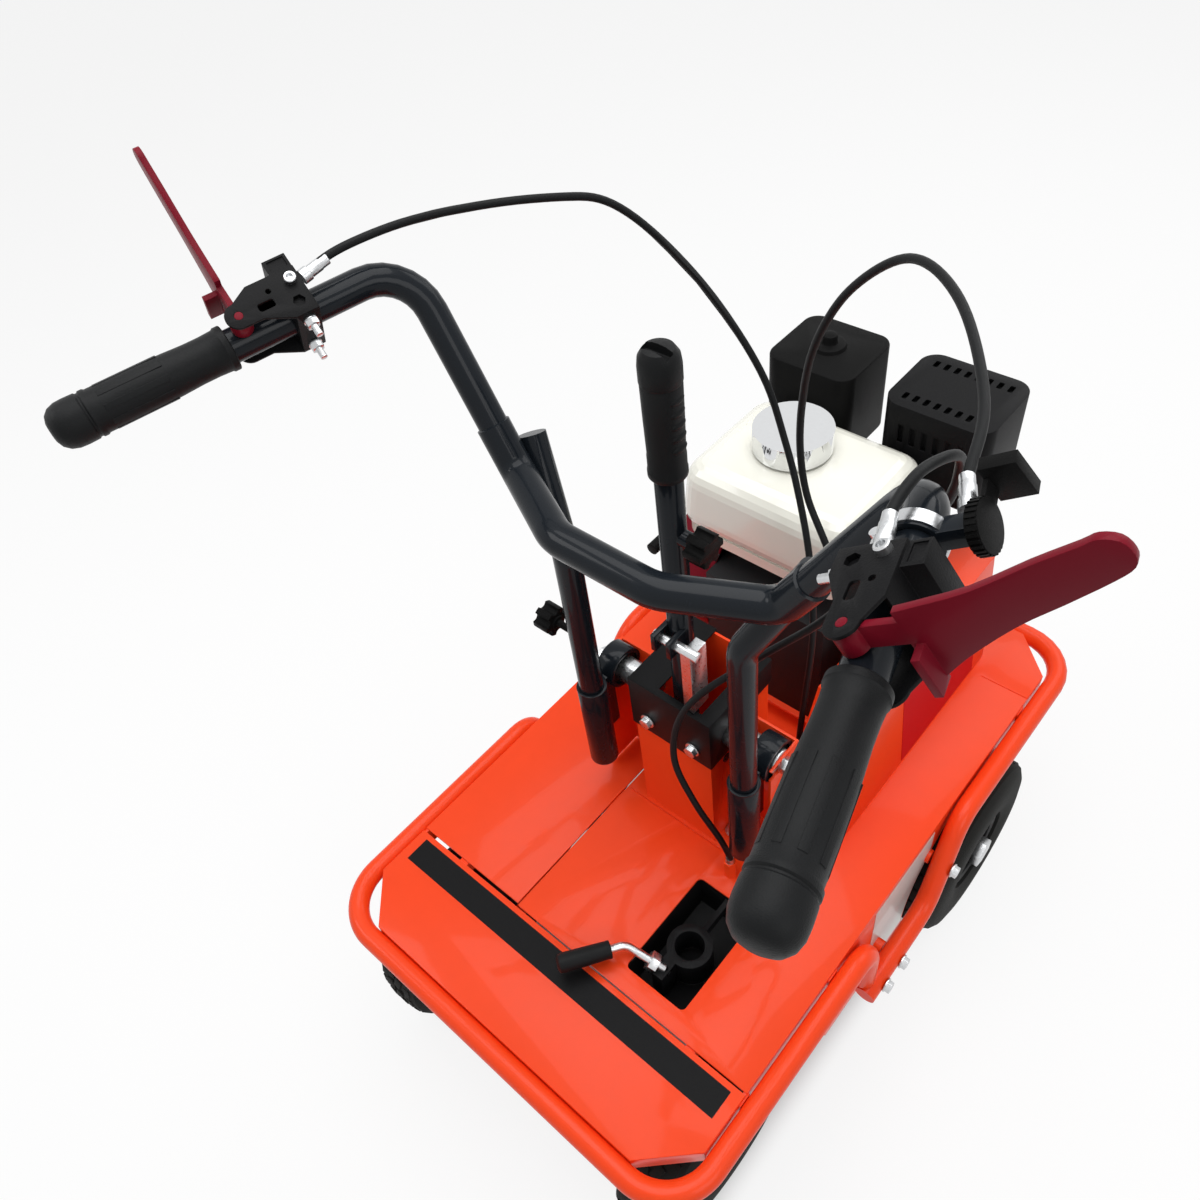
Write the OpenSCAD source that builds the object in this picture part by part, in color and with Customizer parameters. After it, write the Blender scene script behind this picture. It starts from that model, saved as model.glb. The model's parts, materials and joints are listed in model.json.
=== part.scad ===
// Walk-behind sod cutter: deck on four wheels, engine, belt-driven U blade, handlebar with clutch levers.
// Millimetres. X to the operator's right, Y forward, Z up, ground at Z = 0.

/* [Deck] */
// Width of the deck across its side plates
deck_w = 490; // [450:1:540]
// Length of the deck between its end edges
deck_l = 830; // [800:1:900]
// Height of the deck's top face above the ground
deck_z = 300; // [292:1:330]
// Sheet thickness of the deck plates
plate_t = 3; // [2:0.5:4]
// Length cut off each deck corner
corner_cut = 52; // [30:1:60]
// Width of the open seam between deck panels
seam = 2; // [1:0.5:3]
// Width of the cut-out over the depth clamp
cut_w = 80; // [72:1:90]
// Length of the cut-out over the depth clamp
cut_l = 135; // [120:1:150]

/* [Bumpers] */
// Diameter of the bumper tubes
bumper_d = 25; // [22:0.5:27]
// Wall of the bumper tubes
bumper_wall = 2; // [1.5:0.5:3]
// Bend radius at the bumper corners
bumper_bend = 62; // [50:1:75]

/* [Wheels] */
// Outer diameter of the tyres
wheel_d = 260; // [250:1:264]
// Width of the tyres
wheel_w = 80; // [70:1:84]
// Diameter of the wheel rims
rim_d = 110; // [100:1:130]
// Diameter of the front drive axle
axle_d = 25; // [20:1:30]
// Distance of the front axle ahead of the deck's middle
front_axle_y = 187; // [184:1:192]
// Distance of the rear axle behind the deck's middle
rear_axle_y = 308; // [300:1:312]

/* [Handlebar] */
// Diameter of the handlebar's arms and its posts
bar_d = 28; // [25:0.5:30]
// Diameter of the handlebar's cross tube
yoke_d = 32; // [31:0.5:34]
// Outer diameter of the post sleeves
sleeve_d = 34; // [33:0.5:38]
// Distance between the two posts
post_span = 208; // [200:1:214]
// Height of the grips above the deck
bar_h = 666; // [640:1:700]
// Distance between the bar ends
bar_span = 644; // [620:1:680]
// Length of each handle grip
grip_l = 150; // [135:1:155]
// Largest diameter of each handle grip
grip_d = 38; // [35:0.5:40]
// Length of the clutch levers from pivot to tip
lever_l = 148; // [140:1:155]

/* [Tower] */
// Width of the control tower
tower_w = 104; // [96:1:108]
// Height of the control tower above the deck
tower_h = 240; // [225:1:250]
// Height of the black cover at the tower's top
cover_h = 79; // [70:1:85]
// Height of the lift lever's top above the deck
lift_h = 662; // [620:1:700]
// Diameter of the lift lever tube
lift_d = 26; // [22:0.5:27]

/* [Engine] */
// Width of the fuel tank along the crankshaft
tank_w = 235; // [215:1:240]
// Length of the fuel tank across the crankshaft
tank_l = 180; // [165:1:185]
// Height of the fuel tank
tank_h = 98; // [85:1:105]
// Diameter of the fuel cap
cap_d = 92; // [80:1:100]
// Height of the crankshaft above the deck
crank_h = 136; // [132:1:140]
// Pitch diameter of the twin engine pulley
engine_pulley_d = 66; // [56:1:72]

/* [Blade] */
// Outside width of the U-shaped sod blade
blade_w = 356; // [330:1:360]
// Fore and aft length of the knife
blade_l = 70; // [60:1:80]
// Thickness of the blade
blade_t = 6; // [5:0.5:8]
// Height of the knife above the ground
blade_clear = 14; // [10:1:24]
// Throw of the eccentrics
throw = 5; // [3:0.5:6]

/* [Hidden] */
$fn = 40;

// Paint and finish colours
orange = [0.93, 0.25, 0.10];
anthracite = [0.16, 0.18, 0.20];
black = [0.05, 0.05, 0.05];
zinc = [0.75, 0.76, 0.78];
crimson = [0.50, 0.05, 0.12];
cream = [0.93, 0.92, 0.86];
steel = [0.55, 0.56, 0.58];
tan_belt = [0.20, 0.18, 0.16];

// Fits and overruns
over = 1;
run_gap = 0.05;
seat_gap = 0.3;
press_gap = 0.1;
weld_gap = 0.2;

// Deck places
under = deck_z - plate_t;
half_w = deck_w / 2;
half_l = deck_l / 2;
side_t = 4;
lip_h = 26;
rear_seam_y = -293;
left_seam_x = -81;
front_seam_y = 317;
groove_d = 1.2;
cut_share = 2 - sqrt(2);
cut_x = 105;
cut_y = -202;
cut_r = 6;
pan_t = 1.5;
pan_h = 60;
belt_slot_x = 120;
belt_slot_w = 52;
belt_slot_y = [20, 222];
strip_gap = 14;

// Chassis places
beam_h = 20;
beam_w = 30;
end_beam_insets = [58, 70];
mid_beam_ys = [-112, 100];
beam_ys = [end_beam_insets[0] - half_l, each mid_beam_ys, half_l - end_beam_insets[1]];
side_low = 95;
side_inset = 53;
side_front = half_l - side_inset;
arch_gap = 14;
arch_shoulder = 30;
hanger_x = 168;
hanger_t = 8;
hanger_w = 64;
ecc_hanger_x = 172;
rail_w = 12;
swing_y = -70;
swing_z = 205;
swing_pin_d = 20;
swing_shoulder = 3;
carrier_y = -168;
carrier_z = 190;
carrier_pin_d = 16;
carrier_x = 147;
tab_l = 16;
end_tab_insets = [117, 115];
mid_tab_y = -136;
tab_ys = [end_tab_insets[0] - half_l, mid_tab_y, half_l - end_tab_insets[1]];
tab_h = 14;

// Bumper places
tube_gap = 1.5;
bumper_x = half_w + bumper_d / 2 + tube_gap;
bumper_y = half_l + bumper_d / 2;
bumper_z = deck_z - bumper_d / 2;
rail_offset = 9;
rail_x = bumper_x + rail_offset;
rail_z = 184;
rail_back_y = -92;
rail_front_y = 45;
rise_y = 122;
rise_bend = 50;
hook_y = -80;
hook_bend = 34;
rise_bolt = [82, 238];
rail_bolt_ys = [-30, -66];
rail_bolt_z = 185;
rise_lean = 1.3;
// Height, length and side place of each bolt, and how far it stands off the tube
rail_bolts_at = concat([concat(rise_bolt, (rail_x + bumper_x) / 2, rise_lean)],
    [for (y = rail_bolt_ys) [y, rail_bolt_z, rail_x, seat_gap]]);

// Hexagon fasteners
hex_af = 13;
hex_h = 5.5;
flange_d = 18;
flange_h = 2;

// Handlebar places for the right side, mirrored for the left
bar_z = deck_z + bar_h;
bar_end_y = -378;
bar_end_drop = 5;
bar_top_at = [248, -93];
bar_top_rise = 9;
bar_low_at = [145, -104];
bar_low_drop = 166;
bar_kink_at = [54, -150];
bar_kink_drop = 164;
bar_end = [bar_span / 2, bar_end_y, bar_z - bar_end_drop];
bar_top = concat(bar_top_at, bar_z + bar_top_rise);
bar_low = concat(bar_low_at, bar_z - bar_low_drop);
bar_kink = concat(bar_kink_at, bar_z - bar_kink_drop);
step_share = 0.76;
step_z = bar_top[2] + step_share * (bar_low[2] - bar_top[2]);
top_bend = 46;
low_bend = 26;
kink_bend = 50;
post_x = post_span / 2;
post_y = -100;
post_foot_h = 82;
post_foot = deck_z + post_foot_h;
post_bend_drop = 252;
post_bend_z = bar_z - post_bend_drop;
post_tip_at = [154, -72];
post_tip_drop = 148;
post_tip = concat(post_tip_at, bar_z - post_tip_drop);
post_bend = 40;
sleeve_low_h = 64;
sleeve_low = deck_z + sleeve_low_h;
sleeve_top_h = 200;
sleeve_top = deck_z + sleeve_top_h;

// Bush rings that carry the sleeves
bush_y = -55;
bush_h = 195;
bush_z = deck_z + bush_h;
ring_d = 50;
ring_wall = 5;
ring_w = 24;
bush_inset = 2;
bush_bolt_d = 10;
washer_d = 30;
nut_af = 17;
nut_h = 8;
gusset_t = 5;
gusset_drop = 90;

// Tower places
tower_t = 3;
tower_back = 18;
tower_face = -88;
tower_foot_t = 4;
foot_w = 150;
foot_back = 34;
foot_face = -92;
bracket_x = 121;
bracket_back = -26;
bracket_open = -76;
bracket_top_h = 204;
bracket_top = deck_z + bracket_top_h;
bolt_notch = 16;
cover_gap = 0.2;
cover_t = 2.5;
cover_face = tower_face - cover_gap - cover_t;
cover_slot_x = [-18, 38];
cover_slot_l = 94;
cover_bolt_x = 31;
cover_bolt_h = 184;
cover_bolt_z = deck_z + cover_bolt_h;
foot_bolt_x = 61;
foot_bolt_y = -64;

// Lift lever and latch
lift_y = -60;
lift_pivot_h = 150;
lift_pivot_z = deck_z + lift_pivot_h;
lift_pin_d = 12;
lift_boss_d = 34;
lift_boss_w = 40;
lift_grip_d = 36;
lift_grip_l = 127;
knob_d = 34;
knob_h = 20;
knob_lobes = 6;
knob_scallop = 5;
knob_stud_d = 8;
lift_knob_h = 465;
lift_knob_z = deck_z + lift_knob_h;
height_knob_h = 285;
height_knob_z = deck_z + height_knob_h;
knob_boss_d = 16;
knob_boss_l = 8;
knob_stud_l = 14;
latch_h = 334;
latch_z = deck_z + latch_h;
latch_y = -81;
latch_x = [-16, 38];
latch_bar_d = 11;
latch_stem_x = 20;
latch_stem_w = 12;
latch_stem_l = 20;
latch_stem_h = 90;
latch_lug_x = 7;
latch_lug_t = 5;

// Lever brackets on the bar
lever_roll = 32;
lever_at = 15;
lever_out = 2;
lever_pin_d = 7;
hub_d = 18;
lever_t = 5;
fin_l = 14;
fin_reach = 34;
fin_low = -13;
// Outline of the lever's blade from its lower root round the tip, in shares of its length
lever_shares = [[0.21, -0.11], [0.365, 0.007], [0.581, 0.132], [0.76, 0.207], [0.919, 0.277], [0.986, 0.318],
    [1, 0.365], [0.98, 0.419], [0.926, 0.439], [0.872, 0.422], [0.716, 0.378], [0.493, 0.304], [0.297, 0.27],
    [0.21, 0.257]];
bracket_t = 2.5;
bracket_up = 31;
bracket_down = -22;
bracket_l = 58;
bracket_in = -22;
bracket_out = 20;
bracket_tail = 11;
housing_out = 34;
clamp_l = 20;
clamp_at = 38;
clamp_bolt_d = 6;
clamp_bolt_z = 19;
clamp_nut_af = 10;
clamp_nut_h = 5;
clamp_stud_l = 14;
web_from = 16;

// Throttle on the right side
throttle_at = 242;
throttle_w = 14;
throttle_wall = 4;
throttle_arm = 40;
throttle_disc_d = 32;
throttle_disc_t = 8;
throttle_pin_d = 6;
throttle_reach = 28;
throttle_lift = 12;
paddle_w = 22;
paddle_l = 30;
paddle_t = 9;
throttle_strap_t = 3;
throttle_cheek = 7;

// Depth clamp in the cut-out
clamp_nut_at = [90, -246];
clamp_nut_drop = 2;
handle_knee_at = [56, -256];
handle_knee_rise = 19;
handle_end_at = [16, -320];
handle_end_rise = 28;
clamp_nut = concat(clamp_nut_at, deck_z - clamp_nut_drop);
handle_knee = concat(handle_knee_at, deck_z + handle_knee_rise);
handle_end = concat(handle_end_at, deck_z + handle_end_rise);
clamp_post_y = -206;
clamp_post_d = 34;
clamp_wall = 9;
clamp_block_h = 44;
clamp_ear_t = 20;
clamp_foot_t = 6;
handle_rod_d = 10;
handle_bend = 16;
handle_grip_d = 19;
handle_grip_l = 56;
big_nut_af = 20;
big_nut_h = 10;

// Engine places
crank_y = 205;
crank_z = deck_z + crank_h;
base_h = 30;
base_z = deck_z + base_h;
block_x = [-104, 62];
block_y = [112, 290];
block_h = 172;
base_t = 4;
base_x = [-116, 74];
base_y = [104, 300];
tank_x = -38;
tank_y = 212;
tank_foot_h = 244;
tank_z = deck_z + tank_foot_h;
tank_top_inset = 3;
tank_r = 30;
tank_flange_t = 4;
tank_flange_w = 5;
cap_x = -58;
cap_y = 222;
cap_h = 24;
cap_scallops = 10;
neck_d = 62;
neck_h = 6;
crank_d = 19;
boss_d = 60;
boss_l = 14;
fin_count = 7;
fin_t = 3;
fin_pitch = 9;
fin_w = 150;
fin_h = 120;
bore_w = 110;
bore_h = 84;
cover_l = 16;
recoil_x = -170;
recoil_r = 98;
recoil_t = 3;
recoil_cup_d = 120;
recoil_cup_h = 16;
recoil_slots = 12;
recoil_slot_w = 6;
recoil_slot_l = 26;
pull_y = 140;
pull_rise = 62;
pull_z = crank_z + pull_rise;
pull_w = 64;
pull_d = 16;
air_x = -100;
air_y = 360;
air_w = 116;
air_l = 108;
air_h = 120;
air_rise = 36;
air_foot = crank_z + fin_h * 3 / 4 + air_rise;
air_r = 20;
air_boss_d = 40;
air_nut_d = 18;
muffler_x = 65;
muffler_y = 362;
muffler_w = 130;
muffler_l = 110;
muffler_h = 112;
muffler_top_h = 380;
muffler_top = deck_z + muffler_top_h;
muffler_r = 22;
guard_t = 2;
guard_gap = 6;
guard_slots = 6;
guard_slot_w = 7;
guard_slot_l = 24;
carb_w = 50;
carb_h = 46;

// Belt hood places
hood_in = 90;
hood_foot = 168;
hood_crown = 152;
hood_h = 180;
hood_back = -20;
hood_crown_back = 60;
hood_front = 350;
hood_t = 2.5;

// Belts and pulleys
belt_t = 9;
belt_w = 13;
belt_gap = 0.6;
belt_steps = 24;
pulley_w = 18;
pulley_rim = 6;
blade_belt_x = 132;
drive_belt_x = 108;
ecc_y = 30;
ecc_z = 205;
ecc_d = 25;
ecc_pulley_d = 112;
journal_d = 46;
journal_w = 16;
journal_x = 152;
gear_y = 150;
gear_z = 222;
gear_pulley_d = 100;
gear_shaft_d = 18;
gear_x = [16, 88];
gear_case_r = 46;
idler_d = 40;
idler_arm_t = 6;
idler_arm_w = 22;
web_share = 0.8;
idler_pin_d = 12;
blade_idler_at = [184, 291];
blade_idler_pin = [156, 253];
drive_idler_at = [237, 270];
drive_idler_pin = [225, 224];
bearing_d = 52;

// Blade and rods
rod_t = 14;
rod_big = 10;
rod_h = 16;
drive_pin_d = 12;
drive_pin_z = 160;
drive_pin_y = -64;
upright_w = 60;
rod_eye_wall = 7;
rod_eye_d = drive_pin_d + 5 * throw;
knife_edge = 16;

// Wheel places, with tyre and rim sections as shares of their depth and width
front_wheel_gap = 24;
rear_wheel_gap = 4;
front_wheel_x = hanger_x + hanger_t + front_wheel_gap + wheel_w / 2;
rear_wheel_x = carrier_x + hanger_t + rear_wheel_gap + wheel_w / 2;
hub_overhang = 12;
rim_out_share = 0.4;
nut_share = 1.4;
rear_axle_d = 18;
carrier_arm_w = 30;
tyre_shares = [[0, 0.14], [0.1, 0.03], [0.45, 0], [0.75, 0.02], [0.93, 0.1], [1, 0.22], [1, 0.3],
    [0.97, 0.31], [0.97, 0.35], [1, 0.36], [1, 0.64], [0.97, 0.65], [0.97, 0.69], [1, 0.7], [1, 0.78],
    [0.93, 0.9], [0.75, 0.98], [0.45, 1], [0.1, 0.97], [0, 0.86]];
rim_shares = [[0, 0.25], [0.35, 0.25], [0.4, 0.4], [0.75, 0.4], [0.82, 0.12], [0.99, 0.1], [0.99, 0.16],
    [0.9, 0.2], [0.9, 0.8], [0.99, 0.84], [0.99, 0.9], [0.82, 0.88], [0.75, 0.6], [0.4, 0.6], [0.35, 0.9],
    [0, 0.9]];

// Rubber grip sections as shares of their diameter and length
grip_shares = [[0.2, 0.01], [0.36, 0.04], [0.46, 0.09], [0.5, 0.15], [0.5, 0.22], [0.47, 0.24], [0.47, 0.27],
    [0.46, 0.45], [0.45, 0.7], [0.43, 0.86], [0.45, 0.96], [0.49, 0.97], [0.49, 1]];
lift_grip_shares = [[0.47, 0], [0.5, 0.02], [0.5, 0.08], [0.46, 0.11], [0.48, 0.3], [0.5, 0.45], [0.49, 0.62],
    [0.5, 0.78], [0.5, 0.9], [0.44, 0.96], [0.3, 0.99]];

// Cable sizes and hand-chosen routes
cable_d = 8;
cable_sides = 8;
tube_sides = 20;
bend_steps = 7;
outline_steps = 3;
cable_step = 5;
cable_hole_d = 9;
// Points of the upper stretches are measured from the bar's height, those of the lower ones from the deck
blade_upper = [[-267, -181, 34], [-262, -140, 42], [-243, -60, 38], [-190, 30, 26], [-156, 80, 3],
    [-101, 120, -73], [-43, 135, -160], [-9, 130, -229]];
blade_lower = [[24, 110, 388], [60, 78, 340], [80, 58, 260], [80, 48, 150], [78, 44, 60], [78, 44, 30]];
drive_upper = [[259, -183, 28], [249, -157, 31], [247, -120, 34], [250, -75, 14], [240, -52, -41],
    [222, -52, -86], [163, -60, -206]];
drive_lower = [[95, -70, 362], [40, -104, 284], [31, -122, 210], [58, -126, 150], [80, -114, 80],
    [90, -110, 45], [90, -109, 30]];
throttle_upper = [[281, -127, 25], [269, -107, 28], [247, -46, 36], [189, 30, 46], [128, 75, 37],
    [73, 90, -14], [41, 95, -79], [25, 105, -149], [25, 105, -209]];
throttle_lower = [[41, 98, 406], [80, 82, 360], [70, 96, 300], [40, 106, 260]];
function raised(points, z) = [for (p = points) [p[0], p[1], z + p[2]]];
blade_route = concat(raised(blade_upper, bar_z), raised(blade_lower, deck_z));
drive_route = concat(raised(drive_upper, bar_z), raised(drive_lower, deck_z));
throttle_route = concat(raised(throttle_upper, bar_z), raised(throttle_lower, deck_z));
cable_feet = [blade_route[len(blade_route) - 1], drive_route[len(drive_route) - 1]];

// Vector helpers
function unit(v) = v / norm(v);
function flip(p) = [-p[0], p[1], p[2]];
function backward(list) = [for (i = [len(list) - 1:-1:0]) list[i]];

// Bar frame of the right side: along the bar, outward and up, turned by the lever roll
bar_dir = unit(bar_top - bar_end);
bar_side = unit(cross(bar_dir, [0, 0, 1]));
bar_up = cross(bar_side, bar_dir);
lever_dir = cos(lever_roll) * bar_side + sin(lever_roll) * bar_up;
plate_dir = cross(lever_dir, bar_dir);

clamp_dir = unit(handle_knee - clamp_nut);

// Points of a smooth curve through the route
function curve_at(a, b, c, d, t) = (2 * b + (c - a) * t + (2 * a - 5 * b + 4 * c - d) * t * t
    + (3 * b - a - 3 * c + d) * t * t * t) / 2;
function smooth(p, n) = concat([for (i = [0:len(p) - 2], k = [0:n - 1])
    curve_at(p[max(i - 1, 0)], p[i], p[i + 1], p[min(i + 2, len(p) - 1)], k / n)], [p[len(p) - 1]]);
function carried(t, n, i = 0) = i == len(t) ? [] :
    let (m = unit(n - (n * t[i]) * t[i])) concat([m], carried(t, m, i + 1));

// A tube swept along a curve as one closed skin; d is one diameter or a list of them
module swept(p, d, sides) {
    n = len(p);
    along_p = [for (i = [0:n - 1]) unit(p[min(i + 1, n - 1)] - p[max(i - 1, 0)])];
    side_p = carried(along_p, [0.31, 0.52, 0.79]);
    rings = [for (i = [0:n - 1], k = [0:sides - 1])
        let (a = 360 * k / sides, w = cross(along_p[i], side_p[i]))
        p[i] + (is_list(d) ? d[i] : d) / 2 * (cos(a) * side_p[i] + sin(a) * w)];
    walls = [for (i = [0:n - 2], k = [0:sides - 1])
        let (a = i * sides + k, b = i * sides + (k + 1) % sides)
        each [[a, b + sides, b], [a, a + sides, b + sides]]];
    near = [for (k = [1:sides - 2]) [0, k, k + 1]];
    far = [for (k = [1:sides - 2]) let (b = (n - 1) * sides) [b, b + k + 1, b + k]];
    polyhedron(rings, concat(walls, near, far));
}

// Arc of radius r that rounds the corner q between p and s
function corner_arc(p, q, s, r) = let (a = unit(q - p), b = unit(s - q), turn = acos(a * b),
        inward = unit(b - a * (a * b)), centre = q - a * r * tan(turn / 2) + inward * r)
    [for (k = [0:bend_steps]) let (t = turn * k / bend_steps) centre + r * (sin(t) * a - cos(t) * inward)];

// Centre line through given points, with an arc of the given radius at each inner point, none at radius 0
function bent_line(p, bends) = concat([p[0]], [for (i = [1:len(p) - 2])
    each bends[i - 1] == 0 ? [p[i]] : corner_arc(p[i - 1], p[i], p[i + 1], bends[i - 1])], [p[len(p) - 1]]);

// Places children with their axes along three given directions
module placed(o, x, y, z)
    multmatrix([[x[0], y[0], z[0], o[0]], [x[1], y[1], z[1], o[1]], [x[2], y[2], z[2], o[2]], [0, 0, 0, 1]])
        children();

// Places children with Z from point p towards point q
module along(p, q) {
    v = unit(q - p);
    translate(p) rotate([0, acos(v[2]), atan2(v[1], v[0])]) children();
}

module x_axis(at) translate(at) rotate([0, 90, 0]) children();

module x_rod(d, x0, x1, y, z) x_axis([x0, y, z]) cylinder(d = d, h = x1 - x0);

module both() {
    children();
    mirror([1, 0, 0]) children();
}

module box(x, y, z) translate([x[0], y[0], z[0]]) cube([x[1] - x[0], y[1] - y[0], z[1] - z[0]]);

module ring2(d, wall) difference() {
    circle(d = d);
    if (wall > 0) circle(d = d - 2 * wall);
}

// A run of tube, then a bend towards its own X, then the rest of the chain
module pipe_chain(runs, turns, rolls, bends, d, wall, i = 0) {
    linear_extrude(runs[i]) ring2(d, wall);
    if (i < len(turns)) translate([0, 0, runs[i]]) rotate(rolls[i]) translate([bends[i], 0, 0]) {
        rotate([90, 0, 180]) rotate_extrude(angle = turns[i]) translate([bends[i], 0]) ring2(d, wall);
        rotate([0, turns[i], 0]) translate([-bends[i], 0, 0])
            pipe_chain(runs, turns, rolls, bends, d, wall, i + 1);
    }
}

// Roll before each bend, carried along the chain
function pipe_rolls(dirs, x, i = 0) = i == len(dirs) - 1 ? [] :
    let (inward = unit(dirs[i + 1] - dirs[i] * (dirs[i] * dirs[i + 1])), y = cross(dirs[i], x))
    concat([atan2(inward * y, inward * x)],
        pipe_rolls(dirs, cross(cross(dirs[i], inward), dirs[i + 1]), i + 1));

// A tube through given points, with an arc of the given radius at each inner point
module pipe(p, d, wall, bends) {
    n = len(p);
    dirs = [for (i = [1:n - 1]) unit(p[i] - p[i - 1])];
    turns = [for (i = [1:n - 2]) acos(dirs[i - 1] * dirs[i])];
    cuts = concat([0], [for (i = [0:n - 3]) bends[i] * tan(turns[i] / 2)], [0]);
    runs = [for (i = [0:n - 2]) norm(p[i + 1] - p[i]) - cuts[i] - cuts[i + 1]];
    lean = acos(dirs[0][2]);
    way = atan2(dirs[0][1], dirs[0][0]);
    first_x = [cos(way) * cos(lean), sin(way) * cos(lean), -sin(lean)];
    along(p[0], p[1]) pipe_chain(runs, turns, pipe_rolls(dirs, first_x), bends, d, wall);
}

module rounded(w, l, r) {
    square([w - 2 * r, l], center = true);
    square([w, l - 2 * r], center = true);
    for (sx = [-1, 1], sy = [-1, 1]) translate([sx * (w / 2 - r), sy * (l / 2 - r)]) circle(r = r);
}

module hexagon(af, h) cylinder(d = af / cos(30), h = h, $fn = 6);

module flange_bolt() {
    cylinder(d = flange_d, h = flange_h);
    hexagon(hex_af, flange_h + hex_h);
}

module octagon(inset) polygon([for (q = [[1, 1], [-1, 1], [-1, -1], [1, -1]])
    each let (x = half_w - inset, y = half_l - inset, c = corner_cut - inset * cut_share)
    (q[0] * q[1] > 0 ? [[q[0] * x, q[1] * (y - c)], [q[0] * (x - c), q[1] * y]]
        : [[q[0] * (x - c), q[1] * y], [q[0] * x, q[1] * (y - c)]])]);

module deck_sheet() translate([0, 0, under]) linear_extrude(plate_t) octagon(0);

module end_lip() translate([0, 0, under - lip_h]) linear_extrude(lip_h) difference() {
    octagon(0);
    octagon(plate_t);
    square([deck_w + over, deck_l - 2 * corner_cut], center = true);
}

// Deck and chassis

module side_plate() rotate([90, 0, 90]) linear_extrude(side_t) difference() {
    polygon([[-side_front, under], [side_front, under], [side_front, under - lip_h],
        [front_axle_y, under - lip_h], [front_axle_y - wheel_d / 2 - arch_gap - arch_shoulder / 2, side_low],
        [swing_y - arch_shoulder * 2, side_low], [carrier_y - arch_shoulder, under - lip_h - arch_shoulder],
        [wheel_d / 3 - rear_axle_y, under - lip_h], [-side_front, under - lip_h]]);
    translate([front_axle_y, wheel_d / 2]) circle(d = wheel_d + 2 * arch_gap);
}

// Plate welded under the ladder with a bearing bore through it
module hanger(x, y, z, w, bore) difference() {
    box([x, x + hanger_t], [y - w / 2, y + w / 2], [z - w / 2, under - beam_h - weld_gap]);
    x_rod(bore, x - over, x + hanger_t + over, y, z);
}

// Cross beams and rails under the deck, kept inside its lips
module ladder() difference() {
    reach = half_w - side_t - weld_gap;
    intersection() {
        union() {
            for (y = beam_ys) box([-reach, reach], [y - beam_w / 2, y + beam_w / 2], [under - beam_h, under]);
            both() {
                box([hanger_x, hanger_x + rail_w], [beam_ys[0], beam_ys[3]], [under - beam_h, under]);
                box([carrier_x, hanger_x + over], [carrier_y - hanger_w / 4, carrier_y + hanger_w / 4],
                    [under - beam_h, under]);
            }
        }
        translate([0, 0, under - beam_h]) linear_extrude(beam_h) octagon(plate_t + seat_gap);
    }
    box([belt_slot_x - belt_slot_w / 2, belt_slot_x + belt_slot_w / 2], belt_slot_y, [0, deck_z]);
}

module chassis_frame() color(orange) {
    ladder();
    both() {
        translate([half_w - side_t, 0, 0]) side_plate();
        for (b = rail_bolts_at) x_rod(flange_d, half_w, b[2] - bumper_d / 2 - b[3], b[0], b[1]);
        for (y = tab_ys) box([half_w, bumper_x - bumper_d / 2], [y - tab_l / 2, y + tab_l / 2],
            [bumper_z - tab_h / 2, bumper_z + tab_h / 2]);
        x_rod(swing_pin_d, blade_w / 2 - blade_t - swing_shoulder, half_w - side_t - weld_gap,
            swing_y, swing_z);
        hanger(hanger_x, front_axle_y, wheel_d / 2, hanger_w, bearing_d);
        hanger(ecc_hanger_x, ecc_y, ecc_z, hanger_w, bearing_d);
        hanger(carrier_x, carrier_y, carrier_z, hanger_w / 2, carrier_pin_d + 2 * run_gap);
    }
}

module deck_plate() color(orange) {
    difference() {
        union() {
            deck_sheet();
            end_lip();
        }
        box([-half_w - over, half_w + over], [-half_l - over, rear_seam_y], [0, deck_z + over]);
        box([-half_w - over, left_seam_x], [rear_seam_y - over, front_seam_y], [0, deck_z + over]);
        translate([cut_x, cut_y, under - over]) linear_extrude(plate_t + 2 * over)
            rounded(cut_w, cut_l, cut_r);
        box([belt_slot_x - belt_slot_w / 2, belt_slot_x + belt_slot_w / 2], belt_slot_y, [0, deck_z + over]);
        box([hood_foot + strip_gap, half_w + over], [front_seam_y, front_seam_y + seam],
            [deck_z - groove_d, deck_z + over]);
        for (p = cable_feet) translate([p[0], p[1], 0]) cylinder(d = cable_hole_d, h = deck_z + over);
    }
    difference() {
        box(base_x, base_y, [deck_z, base_z]);
        box([base_x[0] + base_t, base_x[1] - base_t], [base_y[0] - over, base_y[1] + over],
            [deck_z - over, base_z - base_t]);
    }
    for (p = cable_feet) translate([p[0], p[1], deck_z]) difference() {
        hexagon(hex_af, p[2] - deck_z);
        translate([0, 0, -over]) cylinder(d = cable_hole_d, h = p[2] - deck_z + 2 * over);
    }
}

module left_deck_panel() color(orange) intersection() {
    deck_sheet();
    box([-half_w, left_seam_x - seam], [rear_seam_y + seam, front_seam_y - seam], [0, deck_z]);
}

module rear_deck_panel() color(orange) intersection() {
    union() {
        deck_sheet();
        end_lip();
    }
    box([-half_w, half_w], [-half_l, rear_seam_y - seam], [0, deck_z]);
}

// Bumper tubes

module front_bumper() color(orange) {
    low = [[rail_x, rail_back_y, rail_z], [rail_x, rail_front_y, rail_z + bumper_d / 4],
        [bumper_x, rise_y, bumper_z], [bumper_x, bumper_y, bumper_z]];
    back = [for (p = backward(low)) flip(p)];
    sides = [rise_bend, rise_bend, bumper_bend];
    swept(bent_line(concat(low, back), concat(sides, backward(sides))), bumper_d, tube_sides);
}

module rear_bumper() color(orange) {
    side = [[bumper_x, hook_y, rail_z + bumper_d / 2 + 3 * seat_gap], [bumper_x, hook_y, bumper_z],
        [bumper_x, -bumper_y, bumper_z]];
    back = [for (p = backward(side)) flip(p)];
    pipe(concat(side, back), bumper_d, bumper_wall, [hook_bend, bumper_bend, bumper_bend, hook_bend]);
}

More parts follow.
